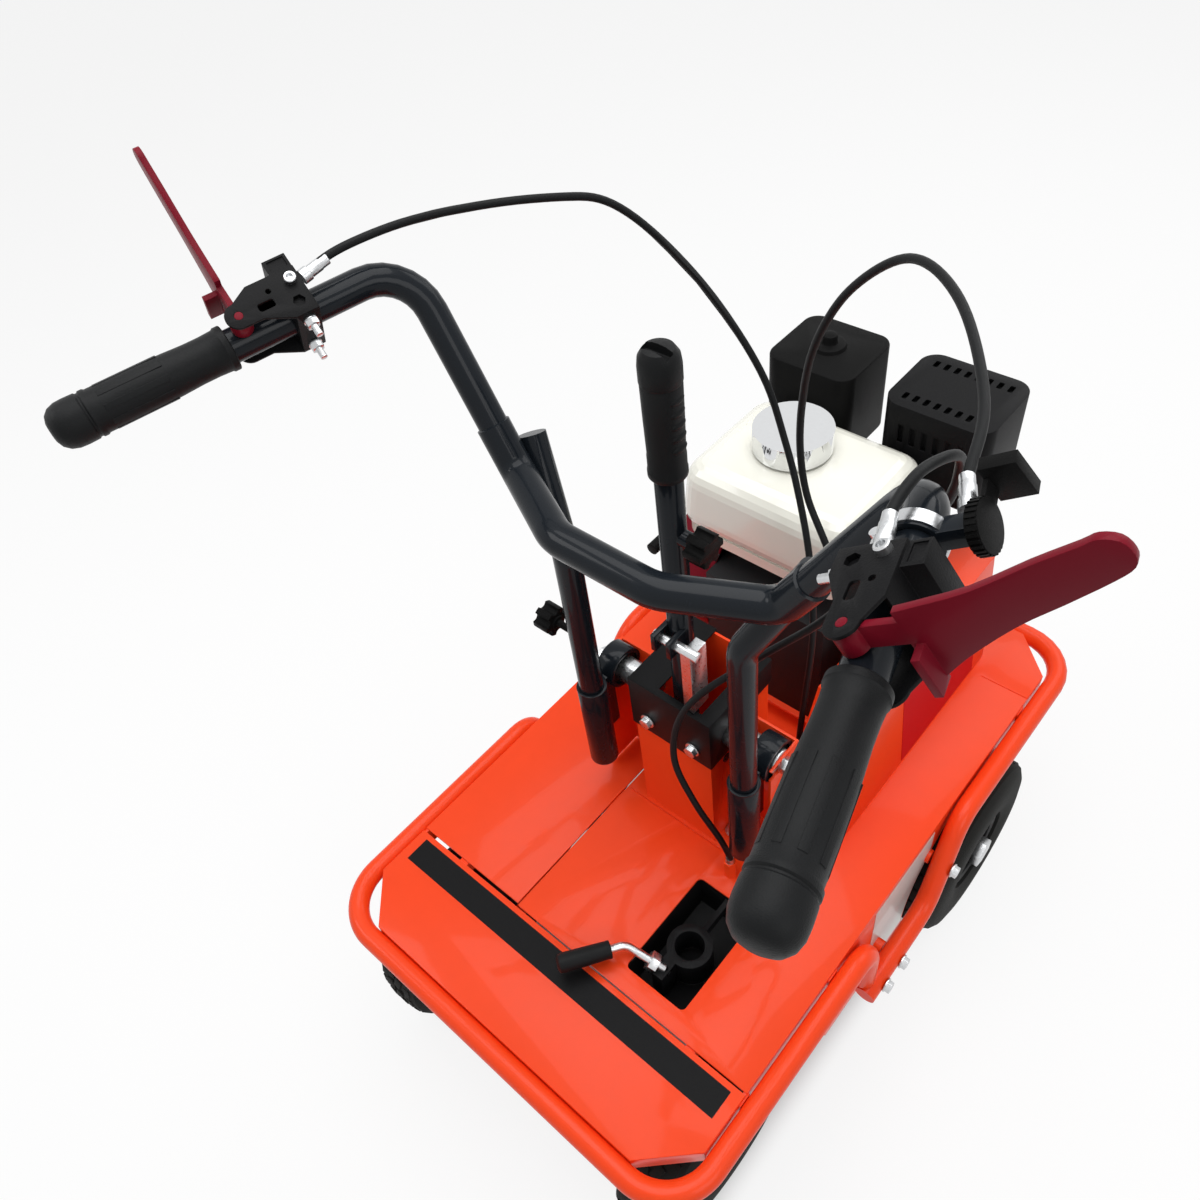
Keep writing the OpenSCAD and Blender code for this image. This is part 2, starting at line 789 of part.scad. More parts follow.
module frame_bolts() color(zinc) both() {
    inner = tower_w / 2 - tower_t;
    for (b = rail_bolts_at) x_axis([b[2] + bumper_d / 2 + b[3], b[0], b[1]]) flange_bolt();
    for (y = [foot_bolt_y, foot_back - flange_d])
        translate([foot_bolt_x, y, deck_z + tower_foot_t]) flange_bolt();
    translate([cover_bolt_x, cover_face, cover_bolt_z]) rotate([90, 0, 0]) flange_bolt();
    x_rod(bush_bolt_d, inner - over, bracket_x + nut_h + over, bush_y, bush_z);
    x_axis([inner - nut_h, bush_y, bush_z]) hexagon(nut_af, nut_h);
    x_axis([bracket_x, bush_y, bush_z]) hexagon(nut_af, nut_h);
    x_rod(washer_d, tower_w / 2, post_x - ring_w / 2 + bush_inset, bush_y, bush_z);
    x_rod(washer_d, post_x + ring_w / 2 - bush_inset, bracket_x - tower_t, bush_y, bush_z);
}

// Control tower

module tower_frame() color(orange) {
    difference() {
        box([-tower_w / 2, tower_w / 2], [tower_face, tower_back], [deck_z, deck_z + tower_h]);
        box([-tower_w / 2 + tower_t, tower_w / 2 - tower_t], [tower_face + tower_t, tower_back - tower_t],
            [deck_z - over, deck_z + tower_h + over]);
        x_rod(bush_bolt_d + 2 * press_gap, -bracket_x, bracket_x, bush_y, bush_z);
        x_rod(lift_pin_d + 2 * run_gap, -tower_w, tower_w, lift_y, lift_pivot_z);
    }
    difference() {
        box([-foot_w / 2, foot_w / 2], [foot_face, foot_back], [deck_z, deck_z + tower_foot_t]);
        box([-tower_w / 2, tower_w / 2], [tower_face, tower_back],
            [deck_z - over, deck_z + tower_foot_t + over]);
    }
    both() difference() {
        union() {
            box([tower_w / 2, bracket_x], [bracket_back - tower_t, bracket_back],
                [deck_z + tower_foot_t + flange_h, bracket_top]);
            box([bracket_x - tower_t, bracket_x], [bracket_open, bracket_back],
                [deck_z + tower_foot_t + flange_h, bracket_top]);
        }
        x_rod(bush_bolt_d + 2 * press_gap, tower_w / 2, bracket_x + over, bush_y, bush_z);
        box([bracket_x - 2 * tower_t, bracket_x + over], [bracket_open - over, bush_y],
            [bush_z - bolt_notch / 2, bush_z + bolt_notch / 2]);
    }
}

module tower_cover() color(black) difference() {
    box([-tower_w / 2 - cover_gap - cover_t, tower_w / 2 + cover_gap + cover_t],
        [cover_face, tower_back + cover_gap + cover_t],
        [deck_z + tower_h + cover_gap + cover_t - cover_h, deck_z + tower_h + cover_gap + cover_t]);
    box([-tower_w / 2 - cover_gap, tower_w / 2 + cover_gap],
        [tower_face - cover_gap, tower_back + 2 * cover_t], [deck_z, deck_z + tower_h + cover_gap]);
    box(cover_slot_x,
        [tower_back - tower_t - cover_slot_l - cover_t, tower_back + 2 * cover_t],
        [deck_z, deck_z + 2 * tower_h]);
    box([-tower_w, tower_w], [bracket_back - 2 * tower_t, tower_back + 2 * cover_t],
        [deck_z, bracket_top + over]);
    x_rod(washer_d + over, -tower_w, tower_w, bush_y, bush_z);
}

module post_sleeves() color(anthracite) both() {
    translate([post_x, post_y, sleeve_low]) difference() {
        cylinder(d = sleeve_d, h = sleeve_top - sleeve_low);
        translate([0, 0, -over]) cylinder(d = bar_d + 2 * run_gap, h = sleeve_top - sleeve_low + 2 * over);
    }
    difference() {
        union() {
            x_rod(ring_d, post_x - ring_w / 2, post_x + ring_w / 2, bush_y, bush_z);
            box([post_x - gusset_t / 2, post_x + gusset_t / 2], [post_y, bush_y - ring_d / 4],
                [bush_z - gusset_drop, bush_z]);
            box([post_x - ring_w / 4, post_x + ring_w / 4], [post_y, bush_y],
                [bush_z - ring_d / 4, sleeve_top - over]);
        }
        x_rod(ring_d - 2 * ring_wall, 0, 2 * post_x, bush_y, bush_z);
        translate([post_x, post_y, 0]) cylinder(d = bar_d + 2 * run_gap + over, h = 2 * sleeve_top);
    }
}

module bush_rubbers() color(black) both() difference() {
    x_rod(ring_d - 2 * ring_wall - 2 * press_gap, post_x - ring_w / 2 + bush_inset,
        post_x + ring_w / 2 - bush_inset, bush_y, bush_z);
    x_rod(bush_bolt_d + 2 * press_gap, 0, 2 * post_x, bush_y, bush_z);
}

// Lift lever, its grip, knob and latch

module lift_lever() color(anthracite) difference() {
    union() {
        translate([0, lift_y, lift_pivot_z])
            cylinder(d = lift_d, h = deck_z + lift_h - lift_pivot_z - lift_d);
        x_rod(lift_boss_d, -lift_boss_w / 2, lift_boss_w / 2, lift_y, lift_pivot_z);
        x_rod(lift_pin_d, -tower_w / 2 - over, tower_w / 2 + over, lift_y, lift_pivot_z);
        x_rod(knob_boss_d, 0, lift_d / 2 + knob_boss_l, lift_y, lift_knob_z);
        both() box([latch_lug_x, latch_lug_x + latch_lug_t], [latch_y - latch_bar_d, lift_y],
            [latch_z - latch_bar_d, latch_z + latch_bar_d]);
    }
    x_rod(knob_stud_d + 2 * run_gap, lift_d / 4, tower_w, lift_y, lift_knob_z);
    x_rod(latch_bar_d + 2 * run_gap, -tower_w, tower_w, latch_y, latch_z);
}

// Turned grip from a table of shares, standing on its end
module grip_section(shares, d, l) rotate_extrude()
    polygon(concat([[0, 0]], [for (s = shares) [s[0] * d, s[1] * l]], [[0, l]]));

module lift_grip() color(black) translate([0, lift_y, deck_z + lift_h - lift_grip_l]) difference() {
    grip_section(lift_grip_shares, lift_grip_d, lift_grip_l);
    translate([0, 0, -over])
        cylinder(d = lift_d + 2 * press_gap, h = lift_grip_l - lift_d + over + press_gap);
}

// Star knob with its stud along Z
module star_knob(stud_l) {
    translate([0, 0, stud_l]) linear_extrude(knob_h) difference() {
        circle(d = knob_d);
        for (i = [0:knob_lobes - 1])
            rotate(360 * i / knob_lobes) translate([knob_d / 2, 0]) circle(r = knob_scallop);
    }
    cylinder(d = knob_stud_d, h = stud_l);
    translate([0, 0, stud_l - flange_h]) cylinder(d = knob_boss_d, h = flange_h);
}

module lift_knob() color(black)
    x_axis([lift_d / 4 + over, lift_y, lift_knob_z]) star_knob(lift_d / 4 + knob_boss_l + over + seat_gap);

module height_knob() color(black)
    translate([-post_x, post_y, height_knob_z]) rotate([0, -90, 0]) translate([0, 0, bar_d / 2 + seat_gap])
        star_knob(knob_boss_l + knob_stud_l);

module latch_bar() color(zinc) {
    x_rod(latch_bar_d, latch_x[0], latch_x[1], latch_y, latch_z);
    box([latch_stem_x, latch_stem_x + latch_stem_w], [latch_y - latch_bar_d / 2, latch_y + latch_stem_l],
        [latch_z - latch_stem_h, latch_z]);
}

// Handlebar, grips, brackets and levers

module handlebar() color(anthracite) {
    fall = unit(bar_low - bar_top);
    step = bar_top + step_share * (bar_low - bar_top);
    right_half = [bar_end, bar_top, step, step + fall * over, bar_low, bar_kink];
    left_half = [for (p = backward(right_half)) flip(p)];
    right_bends = [top_bend, 0, 0, low_bend, kink_bend];
    line = bent_line(concat(right_half, left_half), concat(right_bends, backward(right_bends)));
    swept(line, [for (q = line) q[2] < step_z - over / 2 ? yoke_d : bar_d], tube_sides);
}

module handlebar_posts() color(anthracite) both()
    swept(bent_line([[post_x, post_y, post_foot], [post_x, post_y, post_bend_z], post_tip], [post_bend]),
        bar_d, tube_sides);

module right_grip_shape() along(bar_end - bar_dir * grip_d / 2, bar_top) difference() {
    grip_section(grip_shares, grip_d, grip_l);
    translate([0, 0, grip_d / 2 - press_gap]) cylinder(d = bar_d + 2 * press_gap, h = grip_l);
}

module handle_grips() color(black) both() right_grip_shape();

// Frame at the right lever's pivot: X along the lever, Y forward along the bar, Z square to the plates
module at_pivot() placed(bar_end + bar_dir * (grip_l - grip_d / 2 + lever_at) + lever_dir * lever_out,
    lever_dir, bar_dir, plate_dir) children();

module bracket_outline() {
    circle(r = bracket_tail);
    polygon([[-bracket_tail, 0], [bracket_tail, 0], [bracket_out, web_from], [bracket_out, bracket_l],
        [bracket_in, bracket_l], [bracket_in, clamp_at], [-bracket_tail, web_from]]);
}

// Room for the bar, seen from the pivot
module bar_hollow(gap) translate([-lever_out, -bracket_l, 0]) rotate([-90, 0, 0])
    cylinder(d = bar_d + 2 * gap, h = 3 * bracket_l);

module right_bracket_shape() at_pivot() difference() {
    union() {
        for (z = [bracket_up, bracket_down - bracket_t])
            translate([0, 0, z]) linear_extrude(bracket_t) bracket_outline();
        box([bracket_out - bracket_t, bracket_out], [web_from, bracket_l], [bracket_down, bracket_up]);
        box([bracket_in, housing_out], [clamp_at, clamp_at + clamp_l], [bracket_down, bracket_up]);
    }
    cylinder(d = lever_pin_d + 2 * run_gap, h = 2 * bracket_up);
    bar_hollow(press_gap);
    translate([-lever_out, web_from + lever_pin_d, bracket_up - over])
        linear_extrude(2 * bracket_t) rounded(lever_pin_d, 2 * lever_pin_d, lever_pin_d / 3);
}

module right_bracket() color(black) right_bracket_shape();

module left_bracket() color(black) mirror([1, 0, 0]) right_bracket_shape();

module bracket_bolts() color(zinc) both() at_pivot()
    for (z = [bracket_down + clamp_bolt_d, clamp_bolt_z + clamp_bolt_d / 2])
        translate([bracket_in, clamp_at + clamp_l / 2, z]) rotate([0, -90, 0]) {
            cylinder(d = 2 * clamp_bolt_d, h = flange_h);
            hexagon(clamp_nut_af, flange_h + clamp_nut_h);
            cylinder(d = clamp_bolt_d, h = flange_h + clamp_stud_l);
        }

// The lever's hub stands over the bar; its arm leads out to the blade, which has a short fin at its root
module right_lever_shape() at_pivot() {
    low = bar_d / 2 + over;
    top = bracket_up - seat_gap;
    root = lever_shares[0][0] * lever_l;
    translate([0, 0, low]) cylinder(d = hub_d, h = top - low);
    translate([0, 0, top - over]) cylinder(d = lever_pin_d, h = bracket_t + over + seat_gap);
    box([0, root + lever_t], [-lever_t / 2, lever_t / 2], [low, top]);
    translate([0, lever_t / 2, 0]) rotate([90, 0, 0]) linear_extrude(lever_t)
        polygon(smooth(lever_shares, outline_steps) * lever_l);
    box([fin_reach, fin_reach + lever_t], [-fin_l, 0], [fin_low, low]);
}

module right_lever() color(crimson) right_lever_shape();

module left_lever() color(crimson) mirror([1, 0, 0]) right_lever_shape();

// Frame at the throttle clamp on the right of the bar
module at_throttle() placed(bar_end + bar_dir * throttle_at, lever_dir, bar_dir, plate_dir) children();

module throttle_body() color(anthracite) at_throttle() difference() {
    union() {
        rotate([90, 0, 0]) cylinder(d = bar_d + 2 * throttle_wall, h = throttle_w, center = true);
        box([0, throttle_arm - throttle_disc_t / 2 - seat_gap], [-throttle_w / 2, throttle_w / 2],
            [-throttle_cheek, throttle_cheek]);
    }
    rotate([90, 0, 0]) cylinder(d = bar_d + 2 * press_gap, h = 2 * throttle_w, center = true);
    x_rod(throttle_pin_d + 2 * run_gap, bar_d / 2 + throttle_wall, throttle_arm, 0, 0);
}

module throttle_lever() color(black) at_throttle() {
    x_rod(throttle_disc_d, throttle_arm - throttle_disc_t / 2, throttle_arm + throttle_disc_t / 2, 0, 0);
    x_rod(throttle_pin_d, bar_d / 2 + throttle_wall + over, throttle_arm, 0, 0);
    translate([throttle_arm - throttle_strap_t / 2, 0, 0]) rotate([throttle_lift, 0, 0]) {
        box([0, throttle_strap_t], [0, throttle_reach], [-throttle_cheek, throttle_cheek]);
        box([0, paddle_w], [throttle_reach, throttle_reach + paddle_t], [-paddle_l / 2, paddle_l / 2]);
    }
}

// Cables

module blade_cable() color(black) swept(smooth(blade_route, cable_step), cable_d, cable_sides);

module drive_cable() color(black) swept(smooth(drive_route, cable_step), cable_d, cable_sides);

module throttle_cable() color(black) swept(smooth(throttle_route, cable_step), cable_d, cable_sides);

// Depth clamp and its handle

// Open box of the given outer size under the cut-out, grown by the wall
module clamp_pan(wall, low, high) box([cut_x - cut_w / 2 - wall, cut_x + cut_w / 2 + wall],
    [cut_y - cut_l / 2 - wall, cut_y + cut_l / 2 + wall], [low, high]);

module depth_clamp() color(black) difference() {
    union() {
        difference() {
            clamp_pan(pan_t, under - pan_h, under - press_gap);
            clamp_pan(0, under - pan_h + pan_t, under);
        }
        translate([cut_x, clamp_post_y, under - clamp_block_h - over])
            cylinder(d = clamp_post_d + 2 * clamp_wall, h = clamp_block_h);
        box([clamp_nut[0], cut_x], [clamp_nut[1] - clamp_ear_t / 2, clamp_post_y],
            [under - clamp_block_h - over, under - over]);
        box([cut_x - clamp_foot_t / 2, cut_x + clamp_foot_t / 2], [clamp_post_y, beam_ys[1] - beam_w / 2],
            [under - beam_h, under - clamp_foot_t]);
    }
    translate([cut_x, clamp_post_y, under - clamp_block_h - 2 * over]) cylinder(d = clamp_post_d, h = deck_z);
    along(clamp_nut, handle_knee) cylinder(d = big_nut_af * 2, h = 2 * clamp_block_h);
    along(clamp_nut - clamp_dir * clamp_ear_t, handle_knee)
        cylinder(d = handle_rod_d + 2 * run_gap, h = 3 * clamp_block_h);
}

module depth_handle() {
    leg = norm(handle_knee - clamp_nut) - handle_bend;
    tip = handle_end + unit(handle_knee - handle_end) * handle_grip_l / 2;
    color(steel) {
        along(clamp_nut - clamp_dir * clamp_ear_t / 2, handle_knee)
            cylinder(d = handle_rod_d, h = leg + clamp_ear_t / 2);
        swept(bent_line([clamp_nut + clamp_dir * handle_bend, handle_knee, tip], [handle_bend]),
            handle_rod_d - over, tube_sides);
        along(clamp_nut, handle_knee) translate([0, 0, seat_gap]) hexagon(big_nut_af, big_nut_h);
    }
    color(black) along(handle_end, handle_knee) cylinder(d = handle_grip_d, h = handle_grip_l);
}

// Engine

module engine_block() color(steel) {
    mid = (block_x[0] + block_x[1]) / 2;
    difference() {
        union() {
            box(block_x, block_y, [base_z, base_z + block_h]);
            x_rod(boss_d, block_x[1], block_x[1] + boss_l, crank_y, crank_z);
            for (i = [0:fin_count - 1]) translate([mid, block_y[1] + i * fin_pitch, crank_z + fin_h / 4])
                rotate([90, 0, 0]) linear_extrude(fin_t) rounded(fin_w, fin_h, cut_r);
            box([mid - bore_w / 2, mid + bore_w / 2], [block_y[1] - over, block_y[1] + fin_count * fin_pitch],
                [crank_z + fin_h / 4 - bore_h / 2, crank_z + fin_h / 4 + bore_h / 2]);
        }
        x_rod(crank_d + 2 * run_gap, recoil_x, 2 * hood_foot, crank_y, crank_z);
    }
    translate([mid, block_y[1] + fin_count * fin_pitch + cover_l, crank_z + fin_h / 4]) rotate([90, 0, 0])
        linear_extrude(cover_l) rounded(bore_w, bore_h, cut_r);
    box([tank_x - tank_w / 4, tank_x + tank_w / 4], [tank_y - tank_l / 4, tank_y + tank_l / 4],
        [base_z + block_h, tank_z - tank_flange_t]);
}

module recoil_cover() color(crimson) {
    difference() {
        union() {
            x_rod(2 * recoil_r, recoil_x, block_x[0], crank_y, crank_z + fin_t);
            x_rod(recoil_cup_d, recoil_x - recoil_cup_h, recoil_x, crank_y, crank_z + fin_t);
        }
        x_rod(2 * recoil_r - 2 * recoil_t, recoil_x + recoil_t, block_x[0] + over, crank_y, crank_z + fin_t);
        for (i = [0:recoil_slots - 1])
            x_axis([recoil_x - recoil_cup_h - over, crank_y, crank_z + fin_t]) rotate(360 * i / recoil_slots)
                translate([recoil_cup_d / 4, -recoil_slot_w / 2, 0])
                    cube([recoil_slot_l, recoil_slot_w, recoil_cup_h + recoil_t + 2 * over]);
    }
}

module recoil_grip() color(black) translate([recoil_x - pull_d, pull_y, pull_z]) {
    rotate([90, 0, 0]) cylinder(d = pull_d, h = pull_w, center = true);
    x_rod(pull_d / 2, pull_d / 4, pull_d - seat_gap, 0, 0);
}

module fuel_tank() color(cream) {
    difference() {
        union() {
            hull() for (sx = [-1, 1], sy = [-1, 1], top = [0, 1])
                translate([tank_x + sx * (tank_w / 2 - tank_r - top * tank_top_inset),
                    tank_y + sy * (tank_l / 2 - tank_r - top * tank_top_inset),
                    tank_z + (top == 0 ? tank_r : tank_h - tank_r)]) sphere(r = tank_r, $fn = 24);
            translate([cap_x, cap_y, tank_z + tank_h - neck_h]) cylinder(d = neck_d, h = 2 * neck_h);
        }
        translate([cap_x, cap_y, tank_z + tank_h - neck_h]) cylinder(d = neck_d / 2, h = 4 * neck_h);
    }
    translate([tank_x, tank_y, tank_z - tank_flange_t]) linear_extrude(tank_flange_t + tank_r / 3)
        rounded(tank_w - 2 * tank_flange_w, tank_l - 2 * tank_flange_w, tank_r);
}

module fuel_cap() color(zinc) translate([cap_x, cap_y, tank_z + tank_h + neck_h + seat_gap]) difference() {
    union() {
        linear_extrude(cap_h) difference() {
            circle(d = cap_d);
            for (i = [0:cap_scallops - 1])
                rotate(360 * i / cap_scallops) translate([cap_d / 2 + cap_d / 24, 0]) circle(d = cap_d / 6);
        }
        translate([0, 0, -neck_h / 2]) cylinder(d = cap_d, h = cap_h / 3);
    }
    translate([0, 0, -neck_h]) cylinder(d = neck_d + 2 * seat_gap, h = neck_h);
}

module air_cleaner() color(black) translate([air_x, air_y, air_foot]) {
    linear_extrude(air_h) rounded(air_w, air_l, air_r);
    translate([0, 0, air_h]) cylinder(d = air_boss_d, h = neck_h);
    translate([0, 0, air_h + neck_h]) cylinder(d = air_nut_d, h = 2 * neck_h);
}

module muffler() color(steel) {
    inner = guard_t + guard_gap;
    foot_z = crank_z + fin_h * 0.75;
    seat_z = muffler_top - muffler_h + inner;
    translate([muffler_x, muffler_y, seat_z]) {
        linear_extrude(muffler_h - 2 * inner)
            rounded(muffler_w - 2 * inner, muffler_l - 2 * inner, muffler_r - guard_gap);
        linear_extrude(guard_gap) rounded(muffler_w - 2 * guard_t - 2 * press_gap,
            muffler_l - 2 * guard_t - 2 * press_gap, muffler_r - guard_t);
    }
    translate([muffler_x - muffler_w / 4, muffler_y - muffler_l / 4, foot_z])
        cylinder(d = bore_h / 3, h = seat_z - foot_z + over);
}

module muffler_guard() color(black) difference() {
    translate([muffler_x, muffler_y, muffler_top - muffler_h]) linear_extrude(muffler_h)
        rounded(muffler_w, muffler_l, muffler_r);
    translate([muffler_x, muffler_y, muffler_top - muffler_h - over])
        linear_extrude(muffler_h - guard_t + over)
            rounded(muffler_w - 2 * guard_t, muffler_l - 2 * guard_t, muffler_r - guard_t);
    pitch = (muffler_w - 2 * muffler_r) / guard_slots;
    for (i = [0:guard_slots - 1])
        translate([muffler_x + (i - (guard_slots - 1) / 2) * pitch, muffler_y, muffler_top - muffler_h / 3])
            cube([guard_slot_w, 2 * muffler_l, guard_slot_l], center = true);
}

module carburettor() color(steel) {
    low = crank_z + fin_h / 4 + bore_h / 2;
    back = air_y - carb_w / 6;
    box([air_x - carb_w / 2, air_x + carb_w / 2], [back, air_y + carb_w / 2], [air_foot - carb_h, air_foot]);
    box([air_x, air_x + carb_w], [back, air_y + carb_w / 4], [low, air_foot - carb_h / 2]);
}

// Solid of the hood, shrunk on all outer faces by the wall
module hood_shape(wall) intersection() {
    crown = deck_z + hood_h - wall;
    rotate([90, 0, 0]) translate([0, 0, wall - hood_front]) linear_extrude(hood_front - hood_back - 2 * wall)
        polygon([[hood_in + wall, 0], [hood_foot - wall, 0], [hood_foot - wall, deck_z],
            [hood_crown - wall, crown], [hood_in + wall, crown]]);
    rotate([90, 0, 90]) linear_extrude(2 * hood_foot)
        polygon([[hood_back + 2 * wall, 0], [hood_front, 0], [hood_front, crown],
            [hood_crown_back + wall, crown], [hood_back + 2 * wall, deck_z]]);
}

module belt_hood() color(orange) difference() {
    intersection() {
        hood_shape(0);
        box([0, 2 * hood_foot], [hood_back, hood_front], [deck_z, deck_z + hood_h]);
    }
    hood_shape(hood_t);
    x_rod(boss_d, hood_in - over, hood_in + 2 * hood_t, crank_y, crank_z);
}

// Drive line

// V pulley with its groove, along X, centred on the belt
module pulley(x, d) difference() {
    x_rod(d + 2 * pulley_rim, x - pulley_w / 2, x + pulley_w / 2, 0, 0);
    x_axis([x, 0, 0]) rotate_extrude() translate([(d - belt_t) / 2, -belt_w / 2 - seat_gap])
        square([d, belt_w + 2 * seat_gap]);
}

module crankshaft() color(steel) translate([0, crank_y, crank_z]) {
    x_rod(crank_d, recoil_x + 2 * recoil_t, blade_belt_x + pulley_w / 2 + over, 0, 0);
    x_rod(recoil_r, recoil_x + 2 * recoil_t, block_x[0] - recoil_t, 0, 0);
    for (x = [drive_belt_x, blade_belt_x]) pulley(x, engine_pulley_d);
}

// Points round two circles and their outer tangents, the first circle at the origin
function loop_points(ra, rb, gap) = let (lean = acos((ra - rb) / gap)) concat(
    [for (k = [0:belt_steps]) let (a = lean + (360 - 2 * lean) * k / belt_steps) ra * [cos(a), sin(a)]],
    [for (k = [0:belt_steps]) let (a = -lean + 2 * lean * k / belt_steps) [gap, 0] + rb * [cos(a), sin(a)]]);

// Belt round two pulleys, drawn in the YZ plane
module belt_loop(x, a, da, b, db) {
    gap = norm(b - a);
    translate([x - belt_w / 2, a[0], a[1]]) rotate([90, 0, 90]) rotate(atan2(b[1] - a[1], b[0] - a[0]))
        linear_extrude(belt_w) difference() {
            polygon(loop_points((da + belt_t) / 2, (db + belt_t) / 2, gap));
            polygon(loop_points((da - belt_t) / 2 + belt_gap, (db - belt_t) / 2 + belt_gap, gap));
        }
}

module blade_belt() color(tan_belt)
    belt_loop(blade_belt_x, [crank_y, crank_z], engine_pulley_d, [ecc_y, ecc_z], ecc_pulley_d);

module drive_belt() color(tan_belt)
    belt_loop(drive_belt_x, [crank_y, crank_z], engine_pulley_d, [gear_y, gear_z], gear_pulley_d);

module gearbox() color(steel) difference() {
    union() {
        x_rod(2 * gear_case_r, gear_x[0], gear_x[1], gear_y, gear_z);
        x_rod(2 * gear_case_r, gear_x[0], gear_x[1], front_axle_y, wheel_d / 2);
        box(gear_x, [beam_ys[2] + beam_w / 2 + seat_gap, front_axle_y + gear_case_r / 2],
            [wheel_d / 2, under]);
    }
    x_rod(axle_d + 2 * run_gap, gear_x[0] - over, gear_x[1] + over, front_axle_y, wheel_d / 2);
    x_rod(gear_shaft_d + 2 * run_gap, gear_x[0] - over, gear_x[1] + over, gear_y, gear_z);
}

module gearbox_pulley() color(steel) translate([0, gear_y, gear_z]) {
    x_rod(gear_shaft_d, gear_x[0], drive_belt_x, 0, 0);
    pulley(drive_belt_x, gear_pulley_d);
}

module bearing(x, y, z, shaft_d) difference() {
    x_rod(bearing_d - 2 * press_gap, x, x + hanger_t, y, z);
    x_rod(shaft_d + 2 * run_gap, x - over, x + hanger_t + over, y, z);
}

module shaft_bearings() color(steel) both() {
    bearing(hanger_x, front_axle_y, wheel_d / 2, axle_d);
    bearing(ecc_hanger_x, ecc_y, ecc_z, ecc_d);
}

module eccentric_shaft() color(steel) {
    end = ecc_hanger_x + hanger_t;
    x_rod(ecc_d, -end, end, ecc_y, ecc_z);
    both() x_rod(journal_d, journal_x - journal_w / 2, journal_x + journal_w / 2, ecc_y, ecc_z + throw);
    translate([0, ecc_y, ecc_z]) pulley(blade_belt_x, ecc_pulley_d);
}

module connecting_rods() color(steel) both() difference() {
    union() {
        x_rod(journal_d + 2 * rod_big, journal_x - rod_t / 2, journal_x + rod_t / 2, ecc_y, ecc_z + throw);
        x_rod(rod_eye_d + 2 * rod_eye_wall, journal_x - rod_t / 2, journal_x + rod_t / 2,
            drive_pin_y, drive_pin_z);
        translate([journal_x - rod_t / 2, 0, 0]) rotate([90, 0, 90]) linear_extrude(rod_t)
            polygon([[ecc_y, ecc_z + throw + rod_h], [drive_pin_y, drive_pin_z + rod_h / 2],
                [drive_pin_y, drive_pin_z - rod_h / 2], [ecc_y, ecc_z + throw - rod_h]]);
    }
    x_rod(journal_d + 2 * run_gap, journal_x - rod_t, journal_x + rod_t, ecc_y, ecc_z + throw);
    x_rod(rod_eye_d, journal_x - rod_t, journal_x + rod_t, drive_pin_y, drive_pin_z);
}

module sod_blade() color(steel) {
    in = blade_w / 2 - blade_t;
    back = swing_y - upright_w / 2;
    edge = back + blade_l;
    both() {
        difference() {
            translate([in, 0, 0]) rotate([90, 0, 90]) linear_extrude(blade_t) {
                polygon([[back, blade_clear], [edge, blade_clear], [back + upright_w, swing_z],
                    [back, swing_z]]);
                translate([swing_y, swing_z]) circle(d = upright_w);
            }
            x_rod(swing_pin_d + 2 * run_gap, in - over, in + 2 * blade_t, swing_y, swing_z);
        }
        x_rod(drive_pin_d, journal_x - rod_t / 2, in + over, drive_pin_y, drive_pin_z);
    }
    translate([-in, 0, 0]) rotate([90, 0, 90]) linear_extrude(2 * in)
        polygon([[back, blade_clear], [edge, blade_clear], [edge - knife_edge, blade_clear + blade_t],
            [back, blade_clear + blade_t]]);
}

module along_2d(p, q) translate(p) rotate(atan2(q[1] - p[1], q[0] - p[0])) children();

// Flat arm between two eyes, drawn in the YZ plane; the web is narrower than the eyes
module eye_arm(p, q, d, t) rotate([90, 0, 90]) linear_extrude(t) {
    for (at = [p, q]) translate(at) circle(d = d);
    along_2d(p, q) translate([0, -d * web_share / 2]) square([norm(q - p), d * web_share]);
}

module idler(x, pin, roller) {
    translate([x - belt_w / 2 - idler_arm_t - seat_gap, 0, 0]) eye_arm(pin, roller, idler_arm_w, idler_arm_t);
    x_rod(idler_d, x - belt_w / 2 - seat_gap, x + belt_w / 2, roller[0], roller[1]);
    x_rod(idler_pin_d, x - belt_w / 2 - seat_gap - over, x + belt_w / 2, pin[0], pin[1]);
}

module blade_idler() color(steel) idler(blade_belt_x, blade_idler_pin, blade_idler_at);

module drive_idler() color(steel) idler(drive_belt_x, drive_idler_pin, drive_idler_at);

// Wheels

module tyre_at(x, y) x_axis([x - wheel_w / 2, y, wheel_d / 2]) rotate_extrude()
    polygon([for (s = tyre_shares) [rim_d / 2 + s[0] * (wheel_d - rim_d) / 2, s[1] * wheel_w]]);

module rim_at(x, y, bore) x_axis([x - wheel_w / 2, y, wheel_d / 2]) difference() {
    rotate_extrude() polygon([for (s = rim_shares) [s[0] * rim_d / 2, s[1] * wheel_w]]);
    translate([0, 0, -over]) cylinder(d = bore, h = wheel_w + 2 * over);
}

module front_axle() color(zinc) {
    end = front_wheel_x + wheel_w / 2 + over;
    x_rod(axle_d, -end, end, front_axle_y, wheel_d / 2);
    both() x_axis([front_wheel_x + wheel_w * rim_out_share + press_gap, front_axle_y, wheel_d / 2])
        hexagon(axle_d * nut_share, hub_overhang);
}

module front_tyres() color(black) both() tyre_at(front_wheel_x, front_axle_y);

module front_rims() color(black) both() rim_at(front_wheel_x, front_axle_y, axle_d + 2 * press_gap);

